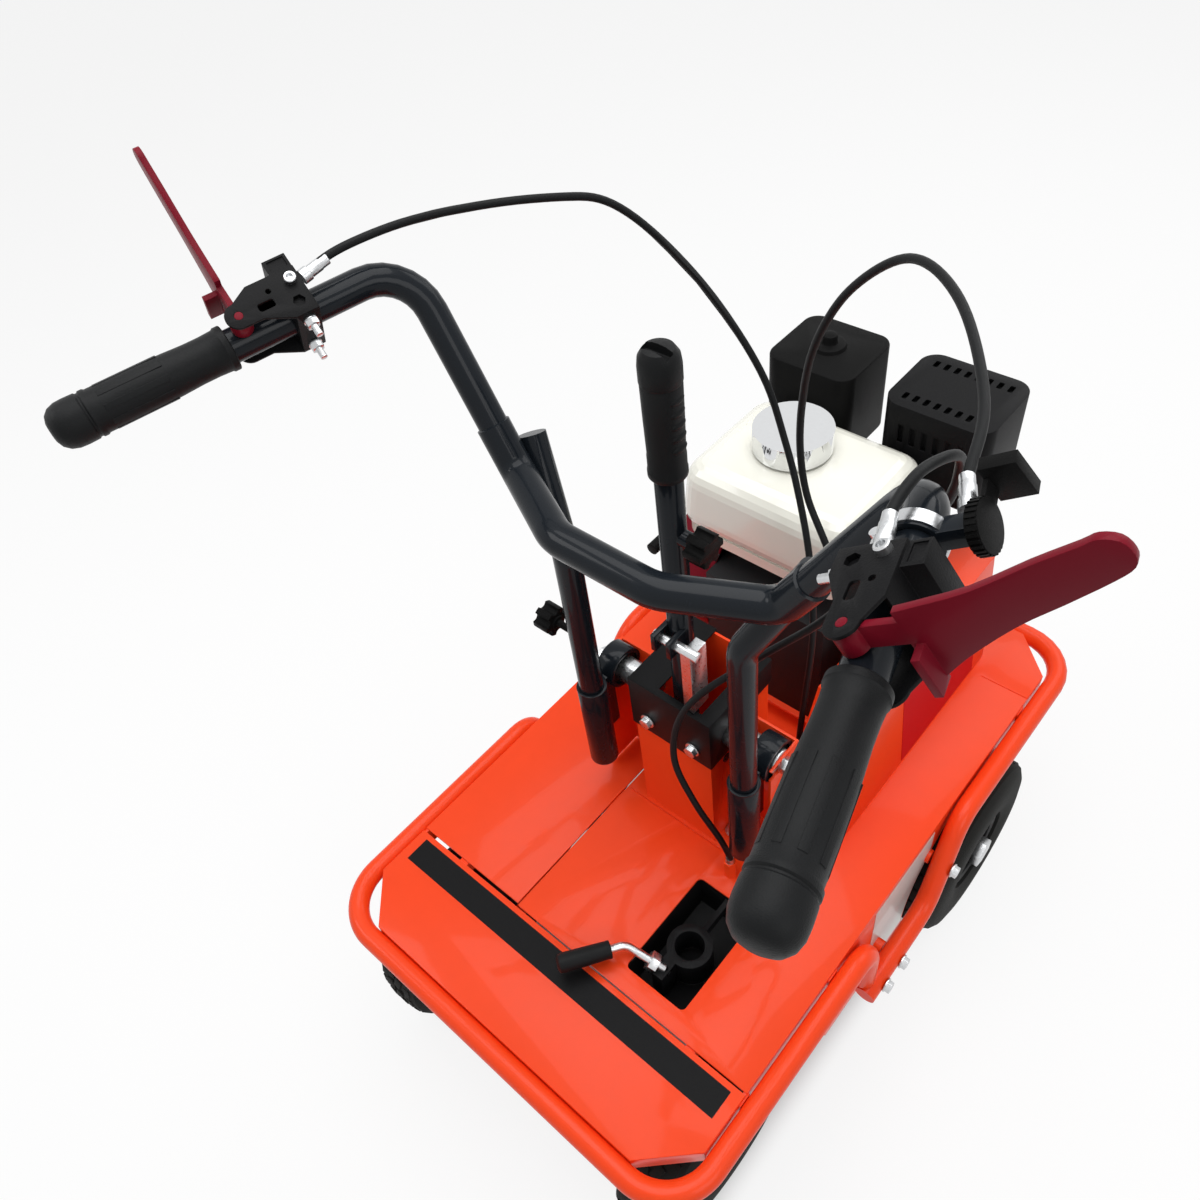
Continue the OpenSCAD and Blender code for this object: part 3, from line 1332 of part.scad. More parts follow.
module rear_carrier() color(orange) {
    arm_x = carrier_x - hanger_t - seat_gap;
    pivot = [carrier_y, carrier_z];
    wheel = [-rear_axle_y, wheel_d / 2];
    both() {
        translate([arm_x, 0, 0]) eye_arm(pivot, wheel, carrier_arm_w, hanger_t);
        x_rod(carrier_pin_d, arm_x + hanger_t - over, carrier_x + hanger_t, carrier_y, carrier_z);
        x_rod(rear_axle_d, 0, rear_wheel_x + wheel_w / 2 + over, wheel[0], wheel[1]);
        x_axis([rear_wheel_x + wheel_w * rim_out_share + seat_gap, wheel[0], wheel[1]])
            hexagon(rear_axle_d * nut_share, hub_overhang);
    }
}

module right_rear_tyre() color(black) tyre_at(rear_wheel_x, -rear_axle_y);

module left_rear_tyre() color(black) mirror([1, 0, 0]) right_rear_tyre();

module right_rear_rim() color(black) rim_at(rear_wheel_x, -rear_axle_y, rear_axle_d + 2 * run_gap);

module left_rear_rim() color(black) mirror([1, 0, 0]) right_rear_rim();

chassis_frame();
deck_plate();
left_deck_panel();
rear_deck_panel();
front_bumper();
rear_bumper();
frame_bolts();
tower_frame();
tower_cover();
post_sleeves();
bush_rubbers();
belt_hood();
engine_block();
recoil_cover();
fuel_tank();
air_cleaner();
muffler();
muffler_guard();
carburettor();
blade_belt();
drive_belt();
gearbox();
shaft_bearings();
depth_clamp();
blade_cable();
drive_cable();
throttle_cable();
handlebar();
handlebar_posts();
handle_grips();
left_bracket();
right_bracket();
throttle_body();
bracket_bolts();
left_lever();
right_lever();
throttle_lever();
height_knob();
lift_lever();
lift_grip();
lift_knob();
latch_bar();
depth_handle();
front_axle();
front_tyres();
front_rims();
rear_carrier();
left_rear_tyre();
left_rear_rim();
right_rear_tyre();
right_rear_rim();
crankshaft();
recoil_grip();
fuel_cap();
eccentric_shaft();
connecting_rods();
gearbox_pulley();
blade_idler();
drive_idler();
sod_blade();
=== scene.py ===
"""Looks of the walk-behind sod cutter: paints, rubber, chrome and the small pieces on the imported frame."""

import json
import math
import typing

import bpy
from mathutils import Matrix, Vector


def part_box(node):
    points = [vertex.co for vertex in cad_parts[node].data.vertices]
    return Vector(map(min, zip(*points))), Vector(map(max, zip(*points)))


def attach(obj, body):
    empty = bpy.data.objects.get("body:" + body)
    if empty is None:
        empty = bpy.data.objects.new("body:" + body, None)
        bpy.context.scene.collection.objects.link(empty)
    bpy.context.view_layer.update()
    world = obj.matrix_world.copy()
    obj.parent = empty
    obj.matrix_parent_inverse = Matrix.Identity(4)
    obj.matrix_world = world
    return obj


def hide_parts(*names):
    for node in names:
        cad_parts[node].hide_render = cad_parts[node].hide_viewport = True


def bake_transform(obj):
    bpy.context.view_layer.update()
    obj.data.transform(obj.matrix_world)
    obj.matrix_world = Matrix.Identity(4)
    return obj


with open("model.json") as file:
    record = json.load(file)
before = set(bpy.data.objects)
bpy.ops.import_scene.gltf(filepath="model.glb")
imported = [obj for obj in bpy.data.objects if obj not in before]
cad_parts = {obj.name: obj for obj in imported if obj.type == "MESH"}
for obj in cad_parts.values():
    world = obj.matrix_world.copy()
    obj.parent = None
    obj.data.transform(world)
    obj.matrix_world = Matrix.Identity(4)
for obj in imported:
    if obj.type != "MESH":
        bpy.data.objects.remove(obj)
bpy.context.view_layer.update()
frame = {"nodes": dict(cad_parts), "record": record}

bl_info = {
    "name": "Sod Cutter Looks",
    "version": (1, 0, 0),
    "blender": (4, 5, 0),
    "location": "View3D > Sidebar > Sod Cutter",
    "description": "Dresses the sod cutter's frame with finishes and small pieces",
    "category": "Object",
}

MM = 0.001
WHITE = (1, 1, 1, 1)
QUARTER_TURN = math.radians(90)

# Camera of the photograph, solved from the machine's left and right symmetry
CAMERA_PLACE = (0.433, -0.549, 1.397)
CAMERA_RIGHT = (0.7487, 0.6536, -0.1106)
CAMERA_DOWN = (0.4306, -0.6063, -0.6686)
CAMERA_LENS = 30.295
CAMERA_SENSOR = 36.0
CAMERA_CLIP = 10 * MM

# Name, place, aim, size in metres and power in watts of each studio lamp
LAMPS = (
    ("top_lamp", (-0.2, 0.1, 3.0), (0, 0, 0.3), 2.4, 62),
    ("key_lamp", (-1.8, -1.6, 2.4), (0, 0, 0.5), 1.0, 14),
    ("fill_lamp", (2.2, -0.6, 1.9), (0, 0, 0.4), 1.2, 12),
    ("back_lamp", (0.4, 2.4, 2.2), (0, 0, 0.5), 1.6, 18),
)
SURROUND_LIGHT = 0.30
FLOOR_GLOW = 0.85
FLOOR_ROUGHNESS = 0.9
# Half size in metres of the ground under the machine, and the shares of it where its shade starts and ends
SHADE_HALF = (0.25, 0.40, 1)
SHADE_SHARES = (0.80, 1.05)

# Which finish each node of the frame takes
FINISH_NODES = {
    "orange_enamel": ("chassis_frame", "deck_plate", "left_deck_panel", "rear_deck_panel", "front_bumper",
                      "rear_bumper", "tower_frame", "belt_hood", "rear_carrier"),
    "anthracite_enamel": ("handlebar", "handlebar_posts", "post_sleeves", "lift_lever", "throttle_body"),
    "satin_black": ("tower_cover", "left_bracket", "right_bracket", "depth_clamp", "muffler_guard",
                    "front_rims", "left_rear_rim", "right_rear_rim"),
    "crimson_enamel": ("left_lever", "right_lever", "recoil_cover"),
    "zinc_plate": ("frame_bolts", "bracket_bolts", "latch_bar", "front_axle", "depth_handle"),
    "black_rubber": ("handle_grips", "lift_grip", "bush_rubbers", "blade_cable", "drive_cable",
                     "throttle_cable", "blade_belt", "drive_belt"),
    "tyre_rubber": ("front_tyres", "left_rear_tyre", "right_rear_tyre"),
    "black_plastic": ("height_knob", "lift_knob", "throttle_lever", "recoil_grip", "air_cleaner"),
    "cream_enamel": ("fuel_tank",),
    "polished_chrome": ("fuel_cap",),
    "cast_alloy": ("engine_block", "carburettor", "gearbox", "muffler"),
    "bare_steel": ("crankshaft", "eccentric_shaft", "connecting_rods", "gearbox_pulley", "blade_idler",
                   "drive_idler", "sod_blade", "shaft_bearings"),
}


class Finish(typing.NamedTuple):
    """A surface: its colour, the mottle that breaks it up, and how it takes the light."""

    colour: str
    grain: float
    shift: float
    rough: float
    rough_shift: float
    bump: float
    metallic: float = 0
    coat: float = 0
    shine: float = 0.5


FINISHES = {
    "orange_enamel": Finish("orange", grain=40, shift=0.03, rough=0.36, rough_shift=0.04, bump=0.08,
                            coat=0.12, shine=0.15),
    "anthracite_enamel": Finish("anthracite", grain=60, shift=0.05, rough=0.26, rough_shift=0.05, bump=0.06,
                                coat=0.16, shine=0.07),
    "satin_black": Finish("black", grain=700, shift=0.10, rough=0.42, rough_shift=0.06, bump=0.22,
                          shine=0.07),
    "crimson_enamel": Finish("crimson", grain=60, shift=0.05, rough=0.40, rough_shift=0.04, bump=0.08,
                             coat=0.03, shine=0.07),
    "cream_enamel": Finish("cream", grain=30, shift=0.01, rough=0.22, rough_shift=0.03, bump=0.04,
                           coat=0.60, shine=0.40),
    "zinc_plate": Finish("zinc", grain=350, shift=0.10, rough=0.30, rough_shift=0.10, bump=0.12,
                         metallic=1),
    "polished_chrome": Finish("chrome", grain=200, shift=0.03, rough=0.10, rough_shift=0.03, bump=0.02,
                              metallic=1),
    "cast_alloy": Finish("alloy", grain=900, shift=0.15, rough=0.50, rough_shift=0.08, bump=0.45,
                         shine=0.12),
    "bare_steel": Finish("steel", grain=500, shift=0.10, rough=0.34, rough_shift=0.08, bump=0.15,
                         metallic=1),
    "black_rubber": Finish("rubber", grain=1200, shift=0.12, rough=0.46, rough_shift=0.06, bump=0.25,
                           shine=0.11),
    "tyre_rubber": Finish("tyre", grain=600, shift=0.20, rough=0.72, rough_shift=0.08, bump=0.40,
                          shine=0.10),
    "black_plastic": Finish("plastic", grain=1500, shift=0.10, rough=0.36, rough_shift=0.05, bump=0.30,
                            shine=0.03),
    "red_sheet": Finish("panel_red", grain=80, shift=0.03, rough=0.36, rough_shift=0.03, bump=0.03,
                        coat=0.05, shine=0.08),
    "pale_sheet": Finish("panel_pale", grain=80, shift=0.03, rough=0.35, rough_shift=0.03, bump=0.03,
                         coat=0.20, shine=0.30),
}

# Put before each finish's name, so that it isn't taken for one of the frame's own materials
FINISH_PREFIX = "finish_"
COAT_ROUGHNESS = 0.06
MOTTLE_DETAIL = 4


def colour(name, text, default):
    """A colour a user can change."""
    return bpy.props.FloatVectorProperty(name=name, description=text, subtype="COLOR", size=3, min=0, max=1,
                                         default=default)


def length(name, text, default):
    """A length a user can change, in metres."""
    return bpy.props.FloatProperty(name=name, description=text, unit="LENGTH", min=0, default=default)


class SodCutterColours(bpy.types.PropertyGroup):
    """Paint and material colours."""

    orange: colour("Orange", "Enamel of the deck, tower, hood and bumpers", (0.88, 0.060, 0.010))
    anthracite: colour("Anthracite", "Enamel of the handlebar and lift lever", (0.008, 0.0105, 0.014))
    black: colour("Black", "Satin black of the covers and brackets", (0.006, 0.006, 0.0065))
    crimson: colour("Crimson", "Enamel of the clutch levers and recoil cover", (0.16, 0.005, 0.014))
    cream: colour("Cream", "Enamel of the fuel tank", (0.80, 0.79, 0.71))
    zinc: colour("Zinc", "Plated bolts and ferrules", (0.58, 0.59, 0.60))
    chrome: colour("Chrome", "Fuel cap", (0.72, 0.73, 0.74))
    alloy: colour("Alloy", "Engine castings", (0.016, 0.016, 0.017))
    steel: colour("Steel", "Bare machined steel", (0.36, 0.36, 0.37))
    rubber: colour("Rubber", "Grips, bushes, belts and cable jackets", (0.007, 0.0075, 0.008))
    tyre: colour("Tyre", "Tyre rubber", (0.012, 0.012, 0.011))
    plastic: colour("Plastic", "Knobs and air cleaner", (0.007, 0.007, 0.007))
    panel_red: colour("Panel Red", "Plain panel on the belt hood", (0.56, 0.006, 0.014))
    panel_pale: colour("Panel Pale", "Plain panel on the right side plate", (0.60, 0.59, 0.56))
    floor: colour("Floor", "Studio floor", (0.86, 0.86, 0.86))


class SodCutterSizes(bpy.types.PropertyGroup):
    """Sizes of the pieces that are added to the frame."""

    tyre_width: length("Tyre Width", "Width of each tyre", 80 * MM)
    rim_radius: length("Rim Radius", "Radius of the wheel rims", 55 * MM)
    tread_depth: length("Tread Depth", "Height of the tread blocks", 4.2 * MM)
    flute_depth: length("Flute Depth", "How far the long ribs stand out of a handle grip", 0.25 * MM)
    sheet: length("Panel Thickness", "Thickness of the plain strips and panels", 0.5 * MM)
    floor_size: length("Floor Size", "Width of the studio floor", 14)


def colours():
    """The colours that are set in the scene."""
    return bpy.context.scene.sod_cutter_colours


def sizes():
    """The sizes that are set in the scene."""
    return bpy.context.scene.sod_cutter_sizes


def new_math(nodes, operation):
    """A math node that does this operation."""
    made = nodes.new("ShaderNodeMath")
    made.operation = operation
    return made


def mottle_group():
    """Fine unevenness shared by every finish: a colour, a roughness and a bump height."""
    made = bpy.data.node_groups.new("Surface Mottle", "ShaderNodeTree")
    for name, kind in (("Grain", "NodeSocketFloat"), ("Base", "NodeSocketColor"),
                       ("Shift", "NodeSocketFloat"), ("Rough", "NodeSocketFloat"),
                       ("Rough Shift", "NodeSocketFloat")):
        made.interface.new_socket(name, in_out="INPUT", socket_type=kind)
    for name, kind in (("Color", "NodeSocketColor"), ("Roughness", "NodeSocketFloat"),
                       ("Height", "NodeSocketFloat")):
        made.interface.new_socket(name, in_out="OUTPUT", socket_type=kind)
    nodes, links = made.nodes, made.links
    given, put = nodes.new("NodeGroupInput"), nodes.new("NodeGroupOutput")
    place = nodes.new("ShaderNodeTexCoord")
    noise = nodes.new("ShaderNodeTexNoise")
    noise.inputs["Detail"].default_value = MOTTLE_DETAIL
    links.new(place.outputs["Object"], noise.inputs["Vector"])
    links.new(given.outputs["Grain"], noise.inputs["Scale"])
    spread = nodes.new("ShaderNodeMapRange")
    spread.inputs["To Min"].default_value = -1
    links.new(noise.outputs["Fac"], spread.inputs["Value"])
    tint = new_math(nodes, "MULTIPLY_ADD")
    tint.inputs[2].default_value = 1
    links.new(spread.outputs["Result"], tint.inputs[0])
    links.new(given.outputs["Shift"], tint.inputs[1])
    shade = nodes.new("ShaderNodeVectorMath")
    shade.operation = "SCALE"
    links.new(given.outputs["Base"], shade.inputs[0])
    links.new(tint.outputs[0], shade.inputs["Scale"])
    rough = new_math(nodes, "MULTIPLY_ADD")
    links.new(spread.outputs["Result"], rough.inputs[0])
    links.new(given.outputs["Rough Shift"], rough.inputs[1])
    links.new(given.outputs["Rough"], rough.inputs[2])
    links.new(shade.outputs["Vector"], put.inputs["Color"])
    links.new(rough.outputs[0], put.inputs["Roughness"])
    links.new(noise.outputs["Fac"], put.inputs["Height"])
    return made


def finish_material(name, mottle_tree, finish):
    """One finish: a Principled shader fed by the shared mottle."""
    made = bpy.data.materials.new(FINISH_PREFIX + name)
    made.use_nodes = True
    nodes, links = made.node_tree.nodes, made.node_tree.links
    shader = nodes["Principled BSDF"]
    shader.inputs["Metallic"].default_value = finish.metallic
    shader.inputs["Coat Weight"].default_value = finish.coat
    shader.inputs["Coat Roughness"].default_value = COAT_ROUGHNESS
    shader.inputs["Specular IOR Level"].default_value = finish.shine
    mottle = nodes.new("ShaderNodeGroup")
    mottle.node_tree = mottle_tree
    base = getattr(colours(), finish.colour)
    for key, value in (("Grain", finish.grain), ("Base", (*base, 1)), ("Shift", finish.shift),
                       ("Rough", finish.rough), ("Rough Shift", finish.rough_shift)):
        mottle.inputs[key].default_value = value
    relief = nodes.new("ShaderNodeBump")
    relief.inputs["Strength"].default_value = finish.bump
    relief.inputs["Distance"].default_value = MM
    links.new(mottle.outputs["Color"], shader.inputs["Base Color"])
    links.new(mottle.outputs["Roughness"], shader.inputs["Roughness"])
    links.new(mottle.outputs["Height"], relief.inputs["Height"])
    links.new(relief.outputs["Normal"], shader.inputs["Normal"])


def dress(obj, finish):
    """The piece takes this finish alone."""
    obj.data.materials.clear()
    obj.data.materials.append(bpy.data.materials[FINISH_PREFIX + finish])


class SODCUTTER_OT_finishes(bpy.types.Operator):
    """Paint, plate and mould every piece of the frame"""

    bl_idname = "sodcutter.finishes"
    bl_label = "Finishes"

    def execute(self, context):
        mottle_tree = mottle_group()
        for name, finish in FINISHES.items():
            finish_material(name, mottle_tree, finish)
        for finish, names in FINISH_NODES.items():
            for name in names:
                dress(frame["nodes"][name], finish)
        return {"FINISHED"}


BODY_OF = {node: body for body, nodes in frame["record"]["behaviour"]["bodies"].items() for node in nodes}
FINISH_OF = {node: finish for finish, nodes in FINISH_NODES.items() for node in nodes}

# Edge radius in millimetres of the nodes whose folded or moulded edges show
EDGE_MM = {
    "deck_plate": 0.8, "left_deck_panel": 0.8, "rear_deck_panel": 0.8, "chassis_frame": 0.8,
    "tower_frame": 1.2, "tower_cover": 1.6, "belt_hood": 2.2, "left_bracket": 0.8, "right_bracket": 0.8,
    "left_lever": 1.6, "right_lever": 1.6, "throttle_body": 1.2, "throttle_lever": 1.4,
    "height_knob": 1.5, "lift_knob": 1.5, "latch_bar": 1.0, "lift_lever": 0.8, "post_sleeves": 0.8,
    "depth_clamp": 0.6, "depth_handle": 0.8, "frame_bolts": 0.5, "bracket_bolts": 0.5,
    "air_cleaner": 6.0, "muffler_guard": 0.5, "recoil_cover": 3.0, "engine_block": 1.2,
    "carburettor": 2.0, "recoil_grip": 3.0, "front_rims": 0.8, "left_rear_rim": 0.8,
    "right_rear_rim": 0.8, "front_axle": 1.0, "rear_carrier": 1.0, "sod_blade": 0.6,
}
EDGE_ANGLE = math.radians(38)
EDGE_SEGMENTS = 2
SMOOTH_ANGLE = math.radians(35)
FLAT_ANGLE = math.radians(0.6)
MERGE = 0.004 * MM


def pick(obj):
    """Select this object alone and make it the active one."""
    bpy.ops.object.select_all(action="DESELECT")
    obj.select_set(True)
    bpy.context.view_layer.objects.active = obj


def apply_modifier(obj, kind, **values):
    """Add a modifier with these values and make it part of the mesh."""
    pick(obj)
    added = obj.modifiers.new(kind.title(), kind)
    for key, value in values.items():
        setattr(added, key, value)
    bpy.ops.object.modifier_apply(modifier=added.name)


def smooth(obj):
    """Shade the piece smooth except over its sharp edges."""
    pick(obj)
    bpy.ops.object.shade_smooth_by_angle(angle=SMOOTH_ANGLE)


def cut(obj, cutter):
    """Take the cutter's shape out of the piece and drop the cutter."""
    apply_modifier(obj, "BOOLEAN", operation="DIFFERENCE", object=cutter, solver="EXACT")
    bpy.data.objects.remove(cutter)
    smooth(obj)


def merged_copy(node, name):
    """The node's mesh as one joined skin, ready to be worked on."""
    source = frame["nodes"][node]
    made = source.copy()
    made.data = source.data.copy()
    made.name = name
    made.parent = None
    made.matrix_world = Matrix.Identity(4)
    bpy.context.scene.collection.objects.link(made)
    pick(made)
    bpy.ops.mesh.customdata_custom_splitnormals_clear()
    bpy.ops.object.mode_set(mode="EDIT")
    bpy.ops.mesh.select_all(action="SELECT")
    bpy.ops.mesh.remove_doubles(threshold=MERGE)
    bpy.ops.mesh.dissolve_limited(angle_limit=FLAT_ANGLE)
    bpy.ops.object.mode_set(mode="OBJECT")
    return made


def stand_for(obj, node):
    """The piece takes the node's place, body and finish."""
    dress(obj, FINISH_OF[node])
    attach(obj, BODY_OF[node])
    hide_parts(node)


def add_piece(obj, finish, body):
    """A new piece that takes a finish and rides on a body."""
    dress(obj, finish)
    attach(obj, body)


class SODCUTTER_OT_edges(bpy.types.Operator):
    """Give folded sheet, castings and bolts their small edge radii"""

    bl_idname = "sodcutter.edges"
    bl_label = "Edge Radii"

    def execute(self, context):
        for node, edge in EDGE_MM.items():
            made = merged_copy(node, node + "_finished")
            apply_modifier(made, "BEVEL", width=edge * MM, segments=EDGE_SEGMENTS, limit_method="ANGLE",
                           angle_limit=EDGE_ANGLE, harden_normals=False)
            smooth(made)
            stand_for(made, node)
        return {"FINISHED"}


class SODCUTTER_OT_tubes(bpy.types.Operator):
    """Round off the bent tubes of the handlebar, posts and bumpers"""

    bl_idname = "sodcutter.tubes"
    bl_label = "Bent Tubes"

    def execute(self, context):
        for node in ("handlebar", "handlebar_posts", "front_bumper", "rear_bumper"):
            made = merged_copy(node, node + "_finished")
            smooth(made)
            stand_for(made, node)
        return {"FINISHED"}


class SODCUTTER_OT_cables(bpy.types.Operator):
    """Smooth cable jackets"""

    bl_idname = "sodcutter.cables"
    bl_label = "Cables"

    def execute(self, context):
        for node in ("blade_cable", "drive_cable", "throttle_cable"):
            made = merged_copy(node, node + "_jacket")
            apply_modifier(made, "SUBSURF", levels=1, render_levels=1)
            smooth(made)
            dress(made, FINISH_OF[node])
            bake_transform(made)
            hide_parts(node)
        return {"FINISHED"}


def scaled(pairs):
    """Pairs of millimetres as metres."""
    return [(radius * MM, distance * MM) for radius, distance in pairs]


def at(x, y, z):
    """A point given in millimetres."""
    return Vector((x, y, z)) * MM


ROUND_STEPS = 48
SMALL_STEPS = 24


def lathe(name, outline, start, along, steps=ROUND_STEPS):
    """A turned piece: a closed outline of (radius, distance) pairs spun about the axis through start."""
    axis = Vector(along).normalized()
    side = axis.orthogonal().normalized()
    bpy.ops.object.select_all(action="DESELECT")
    bpy.ops.mesh.primitive_circle_add(vertices=len(outline))
    made = bpy.context.object
    made.name = name
    for corner, (radius, distance) in zip(made.data.vertices, outline):
        corner.co = Vector(start) + side * radius + axis * distance
    bpy.ops.object.mode_set(mode="EDIT")
    bpy.ops.mesh.select_all(action="SELECT")
    bpy.ops.mesh.spin(steps=steps, angle=2 * math.pi, center=start, axis=axis)
    bpy.ops.mesh.select_all(action="SELECT")
    bpy.ops.mesh.remove_doubles(threshold=MERGE)
    bpy.ops.mesh.normals_make_consistent(inside=False)
    bpy.ops.object.mode_set(mode="OBJECT")
    smooth(made)
    return made


def joined(name, parts):
    """Several meshes as one piece."""
    bpy.ops.object.select_all(action="DESELECT")
    for part in parts:
        part.select_set(True)
    bpy.context.view_layer.objects.active = parts[0]
    bpy.ops.object.join()
    parts[0].name = name
    return parts[0]


BLOCK_SEGMENTS = 3


def block(name, low, high, edge=0.0, place=None):
    """A box between two corners, its edges rounded, put in place by a matrix."""
    low, high = Vector(low), Vector(high)
    bpy.ops.object.select_all(action="DESELECT")
    bpy.ops.mesh.primitive_cube_add(size=1)
    made = bpy.context.object
    made.name = name
    made.data.transform(Matrix.Translation((low + high) / 2) @ Matrix.Diagonal((*(high - low), 1)))
    if edge:
        apply_modifier(made, "BEVEL", width=edge, segments=BLOCK_SEGMENTS)
    if place is not None:
        made.data.transform(place)
    smooth(made)
    return made


def prism(name, sides, radius, low, high, place):
    """A regular prism along Z between two heights, put in place by a matrix."""
    bpy.ops.object.select_all(action="DESELECT")
    bpy.ops.mesh.primitive_cylinder_add(vertices=sides, radius=radius, depth=high - low)
    made = bpy.context.object
    made.name = name
    made.data.transform(place @ Matrix.Translation((0, 0, (low + high) / 2)))
    return made


def copied(obj, name, place):
    """A copy of the piece, moved by a matrix."""
    made = obj.copy()
    made.data = obj.data.copy()
    made.name = name
    bpy.context.scene.collection.objects.link(made)
    made.data.transform(place)
    return made


def mirrored(obj, name):
    """A left-hand copy of a right-hand piece."""
    made = copied(obj, name, Matrix.Scale(-1, 4, (1, 0, 0)))
    pick(made)
    bpy.ops.object.mode_set(mode="EDIT")
    bpy.ops.mesh.select_all(action="SELECT")
    bpy.ops.mesh.normals_make_consistent(inside=False)
    bpy.ops.object.mode_set(mode="OBJECT")
    return made


# Tyre section from one bead to the middle of the tread, as shares of the wall's height and the tyre's width
TYRE_SHARES = ((0.02, 0.16), (0.05, 0.06), (0.30, 0.0), (0.60, 0.01), (0.80, 0.05), (0.92, 0.12),
               (0.955, 0.20), (0.965, 0.30), (0.970, 0.5))
TREAD_ROWS = 4
TREAD_BLOCKS = 34
TREAD_SHARE = 0.66
BLOCK_SHARES = (0.42, 0.37)
TREAD_SLANT = math.radians(14)
TREAD_EDGE = 0.8 * MM
SHOULDER_DROP = 2.2 * MM
TREAD_ROOT = 2 * MM
WHEEL_STEPS = 96


def wheel_tyre(name, centre, radius):
    """A tyre with rounded walls and rows of staggered tread blocks."""
    width, rim = sizes().tyre_width, sizes().rim_radius
    half = [(rim + height * (radius - rim), (share - 0.5) * width) for height, share in TYRE_SHARES]
    outline = half + [(r, -distance) for r, distance in reversed(half[:-1])]
    parts = [lathe(name, outline, centre, (1, 0, 0), WHEEL_STEPS)]
    row_width = width * TREAD_SHARE / TREAD_ROWS
    pitch = 2 * math.pi / TREAD_BLOCKS
    half_x, half_y = row_width * BLOCK_SHARES[0], radius * pitch * BLOCK_SHARES[1]
    level = math.sqrt(radius ** 2 - half_x ** 2 - half_y ** 2)
    for row in range(TREAD_ROWS):
        shoulder = row in (0, TREAD_ROWS - 1)
        top = level - (SHOULDER_DROP if shoulder else 0)
        x = (row - (TREAD_ROWS - 1) / 2) * row_width
        slant = 0 if shoulder else TREAD_SLANT * (1 if row % 2 else -1)
        foot = top - sizes().tread_depth - TREAD_ROOT
        first = block("tread", (x - half_x, -half_y, foot), (x + half_x, half_y, top), TREAD_EDGE,
                      Matrix.Rotation(slant, 4, "Z"))
        for count in range(TREAD_BLOCKS):
            turn = Matrix.Rotation(pitch * (count + 0.5 * (row % 2)), 4, "X")
            parts.append(copied(first, "tread", Matrix.Translation(centre) @ turn))
        bpy.data.objects.remove(first)
    return joined(name, parts)


class SODCUTTER_OT_tyres(bpy.types.Operator):
    """Pneumatic tyres with tread blocks"""

    bl_idname = "sodcutter.tyres"
    bl_label = "Tyres"

    def execute(self, context):
        low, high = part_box("front_tyres")
        middle = (Vector(low) + Vector(high)) / 2
        radius = (high[2] - low[2]) / 2
        reach = high[0] - sizes().tyre_width / 2
        pair = [wheel_tyre("front_tyre", Vector((x, middle.y, middle.z)), radius) for x in (-reach, reach)]
        stand_for(joined("front_tyres_treaded", pair), "front_tyres")
        for node in ("left_rear_tyre", "right_rear_tyre"):
            low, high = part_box(node)
            middle = (Vector(low) + Vector(high)) / 2
            stand_for(wheel_tyre(node + "_treaded", middle, (high[2] - low[2]) / 2), node)
        return {"FINISHED"}


# Right-hand bar end, the bar's top bend and the roll of the lever plates about the bar, as the frame has them
BAR_END = at(322, -378, 961)
BAR_TOP = at(248, -93, 975)
LEVER_ROLL = math.radians(32)
PIVOT_ALONG = 146 * MM
PIVOT_OUT = 2 * MM
THROTTLE_ALONG = 242 * MM


def bar_place(distance, outward=0.0):
    """Frame on the right bar: X out along the lever, Y forward along the bar, Z square to its plates."""
    along = (BAR_TOP - BAR_END).normalized()
    side = along.cross(Vector((0, 0, 1))).normalized()
    out = math.cos(LEVER_ROLL) * side + math.sin(LEVER_ROLL) * side.cross(along)
    place = Matrix((out, along, out.cross(along))).transposed().to_4x4()
    place.translation = BAR_END + along * distance + out * outward
    return place


GRIP_OVERHANG = 19 * MM
# Radius and distance in millimetres along a handle grip, from its domed end
GRIP_MM = ((0, 0), (8, 0.6), (13, 2.6), (17, 7), (19.0, 13), (19.4, 20), (19.2, 29), (18.2, 30.2),
           (18.2, 31.4), (19.3, 32.6), (19.3, 36), (18.3, 37.6), (18.4, 60), (18.3, 85), (17.8, 100),
           (17.0, 118), (17.0, 132), (17.6, 143), (18.7, 144.5), (18.7, 149.2), (18.0, 150), (14.3, 150),
           (14.3, 19.6), (0, 19.6))
GRIP_FLUTES = 9
FLUTE_RADIUS = 18.3 * MM
FLUTE_ENDS = (44 * MM, 96 * MM)
FLUTE_HALF = 2.6 * MM
FLUTE_ROOT = 2 * MM
FLUTE_EDGE = 0.24 * MM
# The same for the lift lever's grip, from its lower rim
LIFT_GRIP_MM = ((13.2, 0), (16.6, 0), (17.6, 1.6), (17.6, 7), (17.0, 8.4), (17.0, 22), (16.6, 24), (17.2, 60),
                (17.5, 92), (17.1, 94), (18, 96), (18, 110), (17, 118), (13, 124.4), (7, 126.4), (0, 127),
                (0, 101), (13.2, 101))
FINGER_HEIGHTS = (34, 46, 58, 70, 82)
FINGER_RADII = (4.0, 9.0, 4.6)
FINGER_OUT = 14.4
RECESS_MM = ((-14, -8, 118.6), (14, 1, 132))
RECESS_EDGE = 1.0 * MM
# End and knee of the depth handle's rod, and its grip's radius and distance from that end
HANDLE_END = at(16, -320, 328)
HANDLE_KNEE = at(56, -256, 319)
DEPTH_GRIP_MM = ((0, -3), (7.0, -2.4), (9.9, -0.4), (10.9, 5), (10.5, 32), (9.8, 54), (10.1, 56), (9.9, 58),
                 (0, 58))


def flutes(place, count, radius):
    """Long shallow ribs round a turned grip whose axis is the frame's Z."""
    low, high = FLUTE_ENDS
    first = ((radius - FLUTE_ROOT, -FLUTE_HALF, low), (radius + sizes().flute_depth, FLUTE_HALF, high))
    return [block("flute", *first, FLUTE_EDGE, place @ Matrix.Rotation(2 * math.pi * number / count, 4, "Z"))
            for number in range(count)]


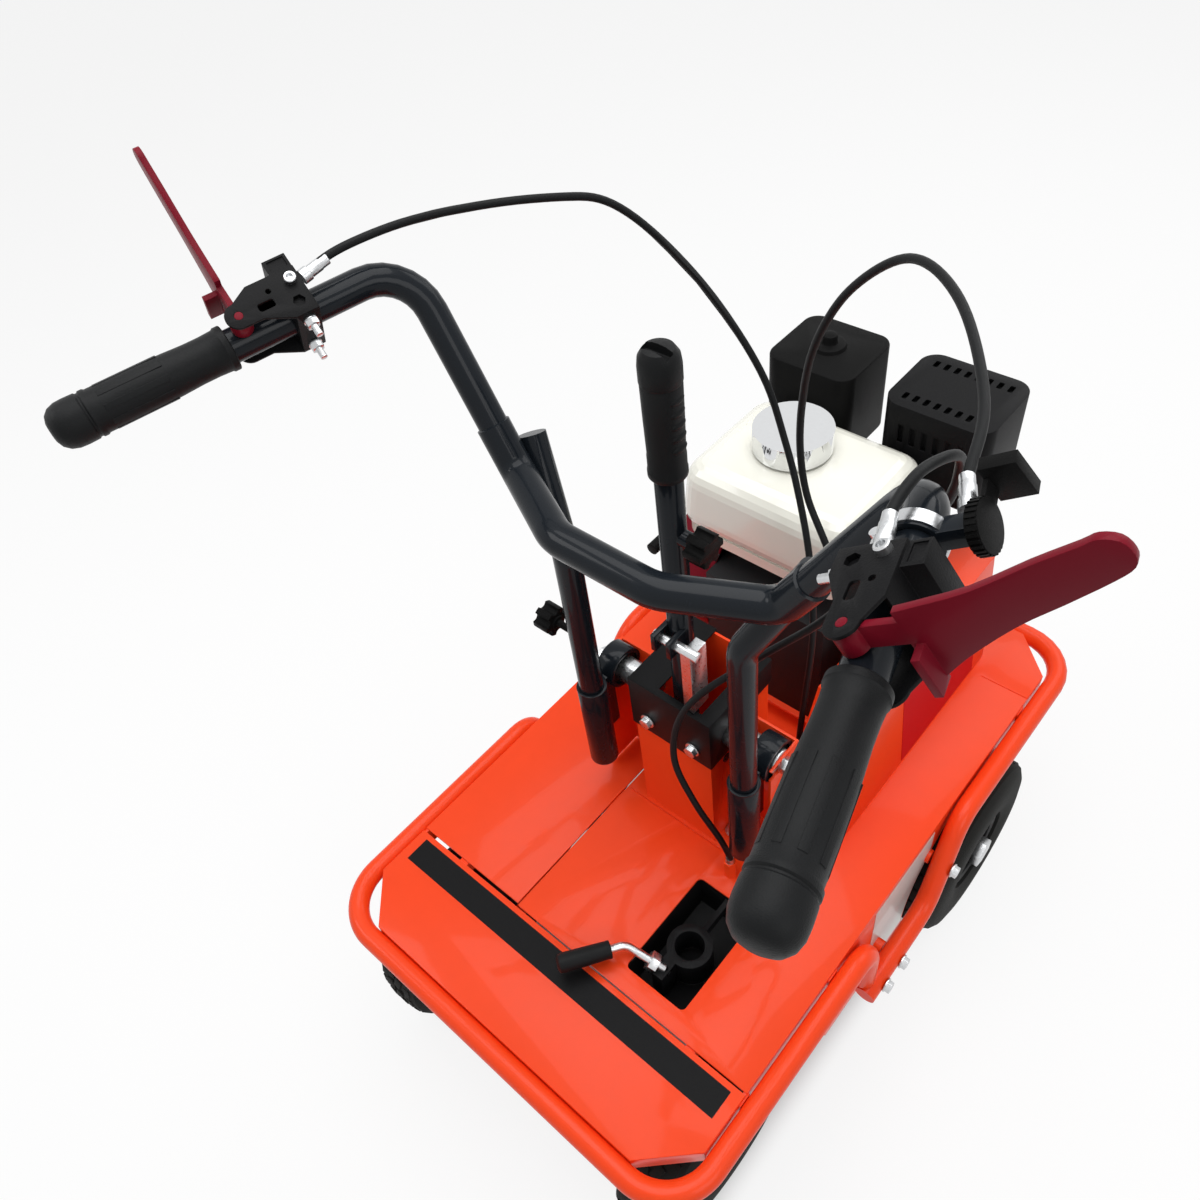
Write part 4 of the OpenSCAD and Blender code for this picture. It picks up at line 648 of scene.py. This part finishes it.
class SODCUTTER_OT_grips(bpy.types.Operator):
    """Moulded rubber grips of the handlebar, the lift lever and the depth handle"""

    bl_idname = "sodcutter.grips"
    bl_label = "Grips"

    def execute(self, context):
        self.handle_grips()
        self.lift_grip()
        along = HANDLE_KNEE - HANDLE_END
        grip = lathe("depth_grip", scaled(DEPTH_GRIP_MM), HANDLE_END, along)
        add_piece(grip, "black_rubber", "depth_handle")
        return {"FINISHED"}

    def handle_grips(self):
        """Fluted grips on both ends of the handlebar."""
        turn = Matrix.Rotation(-QUARTER_TURN, 4, "X")
        place = bar_place(-GRIP_OVERHANG) @ turn
        start, along = place.translation, place.to_3x3() @ Vector((0, 0, 1))
        right = joined("right_grip", [lathe("right_grip", scaled(GRIP_MM), start, along),
                                      *flutes(place, GRIP_FLUTES, FLUTE_RADIUS)])
        pair = joined("handle_grips_moulded", [right, mirrored(right, "left_grip")])
        stand_for(pair, "handle_grips")

    def lift_grip(self):
        """Round grip with finger pads on one side and a recess in its domed end."""
        low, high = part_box("lift_grip")
        foot = Vector(((low[0] + high[0]) / 2, (low[1] + high[1]) / 2, low[2]))
        body = lathe("lift_grip_moulded", scaled(LIFT_GRIP_MM), foot, (0, 0, 1))
        cut(body, block("recess", foot + at(*RECESS_MM[0]), foot + at(*RECESS_MM[1]), RECESS_EDGE))
        pads = []
        for height in FINGER_HEIGHTS:
            bpy.ops.object.select_all(action="DESELECT")
            bpy.ops.mesh.primitive_uv_sphere_add(segments=SMALL_STEPS, ring_count=SMALL_STEPS // 2, radius=MM)
            pad = bpy.context.object
            pad.data.transform(Matrix.Translation(foot + at(FINGER_OUT, 0, height))
                               @ Matrix.Diagonal((*FINGER_RADII, 1)))
            smooth(pad)
            pads.append(pad)
        stand_for(joined("lift_grip_moulded", [body, *pads]), "lift_grip")


# Turned sections of the small plated pieces: radius and distance along the axis, in millimetres
FERRULE_MM = ((0, 0), (6.2, 0), (6.2, 7), (5.2, 8), (5.2, 18), (4.7, 19), (4.7, 26), (0, 26))
SCREW_MM = ((0, 0), (5, 0), (5, 4.6), (4.4, 5.4), (2.9, 5.4), (2.9, 2.4), (0, 2.4))
BAND_MM = ((17.9, -5), (19.5, -5), (19.5, 5), (17.9, 5))
BAND_SCREW_MM = ((0, -11), (4.2, -11), (4.2, -7.5), (2.4, -7.5), (2.4, 8), (3.8, 8), (3.8, 11), (0, 11))
BAND_EARS_MM = (((-27, -5, -6), (-17.5, 5, -3)), ((-27, -5, 3), (-17.5, 5, 6)))
BAND_SCREW_AT = (-22.5, 0, 0)
BAND_EDGE = 0.6 * MM
SLEEVE_RIM_MM = ((14.2, -1.0), (17.3, -1.0), (17.3, 0.2), (16.6, 0.6), (14.2, 0.6))

# Where each cable's end fitting starts, which way it points, and the body that carries it
FERRULES = (
    ("blade_cable_top", at(-267, -181, 1000), (5, 41, 8), "handlebar"),
    ("drive_cable_top", at(259, -183, 994), (-10, 26, 3), "handlebar"),
    ("throttle_cable_top", at(281, -127, 991), (-12, 20, 3), "handlebar"),
    ("blade_cable_foot", at(78, 44, 312), (0, 0, 1), "chassis"),
    ("drive_cable_foot", at(90, -109, 312), (0, 0, 1), "chassis"),
)
SLEEVE_TOP = at(104, -100, 500)


class SODCUTTER_OT_fittings(bpy.types.Operator):
    """Plated cable ends, sleeve rims and the throttle's band clamp"""

    bl_idname = "sodcutter.fittings"
    bl_label = "Plated Fittings"

    def execute(self, context):
        for name, start, along, body in FERRULES:
            ferrule = lathe(name + "_ferrule", scaled(FERRULE_MM), start, along, SMALL_STEPS)
            add_piece(ferrule, "zinc_plate", body)
        rim = lathe("right_rim", scaled(SLEEVE_RIM_MM), SLEEVE_TOP, (0, 0, 1))
        rims = joined("sleeve_rims", [rim, mirrored(rim, "left_rim")])
        add_piece(rims, "anthracite_enamel", "chassis")
        place = bar_place(THROTTLE_ALONG)
        axes = place.to_3x3()
        parts = [lathe("band", scaled(BAND_MM), place.translation, axes @ Vector((0, 1, 0)))]
        for low, high in BAND_EARS_MM:
            parts.append(block("ear", at(*low), at(*high), BAND_EDGE, place))
        parts.append(lathe("band_screw", scaled(BAND_SCREW_MM), place @ at(*BAND_SCREW_AT),
                           axes @ Vector((0, 0, 1)), SMALL_STEPS))
        add_piece(joined("throttle_band", parts), "zinc_plate", "handlebar")
        return {"FINISHED"}


# Cuts and screws of a lever bracket in its pivot's frame, in millimetres
PLATE_TOP = 33.5
HEX_AT = (-10, 47)
HEX_SIDES = 6
HEX_RADIUS = 5.4 * MM
HOLE_AT = (8, 30)
HOLE_RADIUS = 2.4 * MM
CUT_DEPTH = 4
RECESSED_PANEL = ((23, 41, 29.6), (32, 55.5, 36))
PANEL_EDGE = 0.6 * MM
SCREW_AT = (9, 50)
TEETH = 28
TOOTH_MM = ((36.6, -0.9, 15), (43.4, 0.9, 17))


class SODCUTTER_OT_brackets(bpy.types.Operator):
    """Holes, socket screws and the throttle's teeth on the handlebar"""

    bl_idname = "sodcutter.brackets"
    bl_label = "Lever Brackets"

    def execute(self, context):
        place = bar_place(PIVOT_ALONG, PIVOT_OUT)
        screw = lathe("right_screw", scaled(SCREW_MM), place @ at(*SCREW_AT, PLATE_TOP),
                      place.to_3x3() @ Vector((0, 0, 1)), SMALL_STEPS)
        screws = joined("bracket_screws", [screw, mirrored(screw, "left_screw")])
        add_piece(screws, "zinc_plate", "handlebar")
        low, high = (PLATE_TOP - CUT_DEPTH) * MM, (PLATE_TOP + CUT_DEPTH) * MM
        hex_place = place @ Matrix.Translation(at(*HEX_AT, 0))
        hole_place = place @ Matrix.Translation(at(*HOLE_AT, 0))
        holes = [prism("hex_hole", HEX_SIDES, HEX_RADIUS, low, high, hex_place),
                 prism("hole", SMALL_STEPS, HOLE_RADIUS, low, high, hole_place),
                 block("panel", at(*RECESSED_PANEL[0]), at(*RECESSED_PANEL[1]), PANEL_EDGE, place)]
        cutter = joined("bracket_cuts", holes)
        cut(bpy.data.objects["left_bracket_finished"], mirrored(cutter, "left_cuts"))
        cut(bpy.data.objects["right_bracket_finished"], cutter)
        self.throttle_teeth()
        return {"FINISHED"}

    def throttle_teeth(self):
        """Fine teeth round the throttle's disc."""
        place = bar_place(THROTTLE_ALONG)
        teeth = []
        for number in range(TEETH):
            turn = Matrix.Rotation(2 * math.pi * number / TEETH, 4, "X")
            teeth.append(block("tooth", at(*TOOTH_MM[0]), at(*TOOTH_MM[1]), 0, place @ turn))
        add_piece(joined("throttle_teeth", teeth), "black_plastic", "throttle_lever")


# Fuel cap: its wall, hollow and rim radius, and the scallops pressed into its rim
CAP_WALL = 5 * MM
CAP_HOLLOW = 2 * MM
CAP_EDGE = 1.6 * MM
SCALLOPS = 8
SCALLOP_RADIUS = 19 * MM
SCALLOP_DEPTH = 5.5 * MM
SCALLOP_DROP = 18 * MM
SCALLOP_OVER = 4 * MM
# Vents in the muffler guard's top edges
VENTS = 8
VENT_INSET = 20 * MM
VENT_HALF = 3 * MM
VENT_LENGTH = 12 * MM
VENT_MARGIN = 14 * MM
VENT_EDGE = 1.5 * MM


class SODCUTTER_OT_engine_trim(bpy.types.Operator):
    """Lobed fuel cap and vent slots of the muffler guard"""

    bl_idname = "sodcutter.engine_trim"
    bl_label = "Engine Trim"

    def execute(self, context):
        self.lobed_cap()
        self.guard_slots()
        return {"FINISHED"}

    def lobed_cap(self):
        """Turned cap whose rim is pressed into scallops that run out towards its foot."""
        low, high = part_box("fuel_cap")
        foot = Vector(((low[0] + high[0]) / 2, (low[1] + high[1]) / 2, low[2]))
        radius, tall = (high[0] - low[0]) / 2, high[2] - low[2]
        inner = radius - CAP_WALL
        cap = lathe("fuel_cap_lobed", ((0, CAP_HOLLOW), (inner, CAP_HOLLOW), (inner, 0), (radius, 0),
                                       (radius, tall), (0, tall)), foot, (0, 0, 1), WHEEL_STEPS)
        outward = Matrix.Translation((radius + SCALLOP_RADIUS - SCALLOP_DEPTH, 0, tall))
        tilt = Matrix.Rotation(-math.atan2(SCALLOP_DEPTH, SCALLOP_DROP), 4, "Y")
        cutters = []
        for number in range(SCALLOPS):
            turn = Matrix.Translation(foot) @ Matrix.Rotation(2 * math.pi * number / SCALLOPS, 4, "Z")
            cutters.append(prism("scallop", ROUND_STEPS, SCALLOP_RADIUS, -SCALLOP_DROP, SCALLOP_OVER,
                                 turn @ outward @ tilt))
        cut(cap, joined("scallops", cutters))
        apply_modifier(cap, "BEVEL", width=CAP_EDGE, segments=BLOCK_SEGMENTS, limit_method="ANGLE",
                       angle_limit=EDGE_ANGLE)
        smooth(cap)
        stand_for(cap, "fuel_cap")

    def guard_slots(self):
        """Cut rows of vents along the guard's top edges."""
        low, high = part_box("muffler_guard")
        pitch = (high[0] - low[0] - 2 * VENT_INSET) / (VENTS - 1)
        vents = []
        for number in range(VENTS):
            x = low[0] + VENT_INSET + number * pitch
            for y in (low[1] + VENT_MARGIN, high[1] - VENT_MARGIN - VENT_LENGTH):
                vents.append(block("vent", (x - VENT_HALF, y, high[2] - VENT_LENGTH),
                                   (x + VENT_HALF, y + VENT_LENGTH, high[2] + VENT_LENGTH), VENT_EDGE))
        cut(bpy.data.objects["muffler_guard_finished"], joined("vents", vents))


# Plain strips and panels: corners in millimetres of the rear strip, the hood panel up the hood's leaning
# side, and the panel on the right side plate with the wheel arch that bounds it
STRIP_CORNERS = ((-232, -334), (232, -302))
DECK_TOP = 300
HOOD_FOOT = at(168, 0, 300)
HOOD_LEAN = math.atan2(16, 180)
HOOD_PANEL = ((140, 4), (318, 150))
SIDE_X = 245
SIDE_PANEL = ((-45, 128), (86, 288))
ARCH_AT = (187, 130)
ARCH_RADIUS = 148
ARCH_CUT = 5 * MM
PANEL_SINK = 0.1


class SODCUTTER_OT_panels(bpy.types.Operator):
    """Plain strip and panels on the painted sheet"""

    bl_idname = "sodcutter.panels"
    bl_label = "Plain Panels"

    def execute(self, context):
        thick = sizes().sheet / MM
        (x0, y0), (x1, y1) = STRIP_CORNERS
        strip = block("rear_strip", at(x0, y0, DECK_TOP - PANEL_SINK), at(x1, y1, DECK_TOP + thick))
        add_piece(strip, "satin_black", "chassis")
        (y0, z0), (y1, z1) = HOOD_PANEL
        lean = Matrix.Translation(HOOD_FOOT) @ Matrix.Rotation(-HOOD_LEAN, 4, "Y")
        panel = block("hood_panel", at(-PANEL_SINK, y0, z0), at(thick, y1, z1), 0, lean)
        add_piece(panel, "red_sheet", "chassis")
        (y0, z0), (y1, z1) = SIDE_PANEL
        panel = block("side_panel", at(SIDE_X - PANEL_SINK, y0, z0), at(SIDE_X + thick, y1, z1))
        across = Matrix.Translation(at(SIDE_X, *ARCH_AT)) @ Matrix.Rotation(QUARTER_TURN, 4, "Y")
        cut(panel, prism("arch", WHEEL_STEPS, ARCH_RADIUS * MM, -ARCH_CUT, ARCH_CUT, across))
        add_piece(panel, "pale_sheet", "chassis")
        return {"FINISHED"}


def seen_rays(nodes, links):
    """1 for rays seen straight, in a mirror or through glass."""
    path = nodes.new("ShaderNodeLightPath")
    total = path.outputs["Is Camera Ray"]
    for name in ("Is Glossy Ray", "Is Transmission Ray"):
        add = new_math(nodes, "MAXIMUM")
        links.new(total, add.inputs[0])
        links.new(path.outputs[name], add.inputs[1])
        total = add.outputs[0]
    return total


def shade_under(nodes, links):
    """The floor's glow, which fades out under the machine."""
    place = nodes.new("ShaderNodeTexCoord")
    size = nodes.new("ShaderNodeVectorMath")
    size.operation = "ABSOLUTE"
    links.new(place.outputs["Object"], size.inputs[0])
    part = nodes.new("ShaderNodeVectorMath")
    part.operation = "DIVIDE"
    part.inputs[1].default_value = SHADE_HALF
    links.new(size.outputs["Vector"], part.inputs[0])
    split = nodes.new("ShaderNodeSeparateXYZ")
    links.new(part.outputs["Vector"], split.inputs["Vector"])
    furthest = new_math(nodes, "MAXIMUM")
    links.new(split.outputs["X"], furthest.inputs[0])
    links.new(split.outputs["Y"], furthest.inputs[1])
    fade = nodes.new("ShaderNodeMapRange")
    fade.interpolation_type = "SMOOTHSTEP"
    fade.inputs["From Min"].default_value, fade.inputs["From Max"].default_value = SHADE_SHARES
    fade.inputs["To Max"].default_value = FLOOR_GLOW
    links.new(furthest.outputs[0], fade.inputs["Value"])
    return fade.outputs["Result"]


def floor_material():
    """Pale floor that is nearly white to the camera and still takes a soft shadow."""
    made = bpy.data.materials.new("studio_floor")
    made.use_nodes = True
    nodes, links = made.node_tree.nodes, made.node_tree.links
    shader = nodes["Principled BSDF"]
    shader.inputs["Base Color"].default_value = (*colours().floor, 1)
    shader.inputs["Roughness"].default_value = FLOOR_ROUGHNESS
    glow = nodes.new("ShaderNodeEmission")
    glow.inputs["Color"].default_value = WHITE
    share = new_math(nodes, "MULTIPLY")
    links.new(seen_rays(nodes, links), share.inputs[0])
    links.new(shade_under(nodes, links), share.inputs[1])
    mix = nodes.new("ShaderNodeMixShader")
    links.new(share.outputs[0], mix.inputs["Fac"])
    links.new(shader.outputs[0], mix.inputs[1])
    links.new(glow.outputs[0], mix.inputs[2])
    links.new(mix.outputs[0], nodes["Material Output"].inputs["Surface"])
    return made


class SODCUTTER_OT_stage(bpy.types.Operator):
    """Studio floor, soft lamps, white surround and the photograph's camera"""

    bl_idname = "sodcutter.stage"
    bl_label = "Stage"

    def execute(self, context):
        scene = context.scene
        scene.view_settings.view_transform = "Standard"
        bpy.ops.object.select_all(action="DESELECT")
        bpy.ops.mesh.primitive_plane_add(size=sizes().floor_size)
        floor = context.object
        floor.name = "studio_floor"
        floor.data.materials.append(floor_material())
        self.lamps(scene)
        self.surround(scene)
        self.camera(scene)
        return {"FINISHED"}

    def lamps(self, scene):
        """A broad lamp overhead, with a key, a fill and a back light round it."""
        for name, place, aim, size, power in LAMPS:
            data = bpy.data.lights.new(name, "AREA")
            data.size = size
            data.energy = power
            lamp = bpy.data.objects.new(name, data)
            lamp.location = place
            lamp.rotation_euler = (Vector(aim) - Vector(place)).to_track_quat("-Z", "Y").to_euler()
            scene.collection.objects.link(lamp)

    def surround(self, scene):
        """World that is plain white to the camera and in reflections, and a soft fill elsewhere."""
        world = bpy.data.worlds.new("studio_surround")
        scene.world = world
        world.use_nodes = True
        nodes, links = world.node_tree.nodes, world.node_tree.links
        light = nodes["Background"]
        light.inputs["Color"].default_value = WHITE
        light.inputs["Strength"].default_value = SURROUND_LIGHT
        white = nodes.new("ShaderNodeBackground")
        white.inputs["Color"].default_value = WHITE
        mix = nodes.new("ShaderNodeMixShader")
        links.new(seen_rays(nodes, links), mix.inputs["Fac"])
        links.new(light.outputs[0], mix.inputs[1])
        links.new(white.outputs[0], mix.inputs[2])
        links.new(mix.outputs[0], nodes["World Output"].inputs["Surface"])

    def camera(self, scene):
        """The photograph's camera."""
        right, up = Vector(CAMERA_RIGHT), -Vector(CAMERA_DOWN)
        turn = Matrix((right, up, right.cross(up))).transposed().to_4x4()
        data = bpy.data.cameras.new("photo_camera")
        data.lens = CAMERA_LENS
        data.sensor_width = CAMERA_SENSOR
        data.clip_start = CAMERA_CLIP
        made = bpy.data.objects.new("photo_camera", data)
        made.matrix_world = Matrix.Translation(CAMERA_PLACE) @ turn
        scene.collection.objects.link(made)
        scene.camera = made


OPERATORS = (SODCUTTER_OT_finishes, SODCUTTER_OT_edges, SODCUTTER_OT_tubes, SODCUTTER_OT_cables,
             SODCUTTER_OT_tyres, SODCUTTER_OT_grips, SODCUTTER_OT_fittings, SODCUTTER_OT_brackets,
             SODCUTTER_OT_engine_trim, SODCUTTER_OT_panels, SODCUTTER_OT_stage)


class SODCUTTER_PT_panel(bpy.types.Panel):
    """Lists the steps that dress the sod cutter"""

    bl_label = "Sod Cutter"
    bl_idname = "SODCUTTER_PT_panel"
    bl_space_type = "VIEW_3D"
    bl_region_type = "UI"
    bl_category = "Sod Cutter"

    def draw(self, context):
        for step in OPERATORS:
            self.layout.operator(step.bl_idname)


CLASSES = (SodCutterColours, SodCutterSizes, *OPERATORS, SODCUTTER_PT_panel)


def register():
    """Make the operators, the panel and the settings known to Blender."""
    for item in CLASSES:
        bpy.utils.register_class(item)
    bpy.types.Scene.sod_cutter_colours = bpy.props.PointerProperty(type=SodCutterColours)
    bpy.types.Scene.sod_cutter_sizes = bpy.props.PointerProperty(type=SodCutterSizes)


def unregister():
    """Take them out again in the opposite order."""
    del bpy.types.Scene.sod_cutter_sizes
    del bpy.types.Scene.sod_cutter_colours
    for item in reversed(CLASSES):
        bpy.utils.unregister_class(item)


def main():
    """Dress the frame step by step."""
    register()
    bpy.ops.sodcutter.finishes()
    bpy.ops.sodcutter.edges()
    bpy.ops.sodcutter.tubes()
    bpy.ops.sodcutter.cables()
    bpy.ops.sodcutter.tyres()
    bpy.ops.sodcutter.grips()
    bpy.ops.sodcutter.fittings()
    bpy.ops.sodcutter.brackets()
    bpy.ops.sodcutter.engine_trim()
    bpy.ops.sodcutter.panels()
    bpy.ops.sodcutter.stage()


if __name__ == "__main__":
    main()
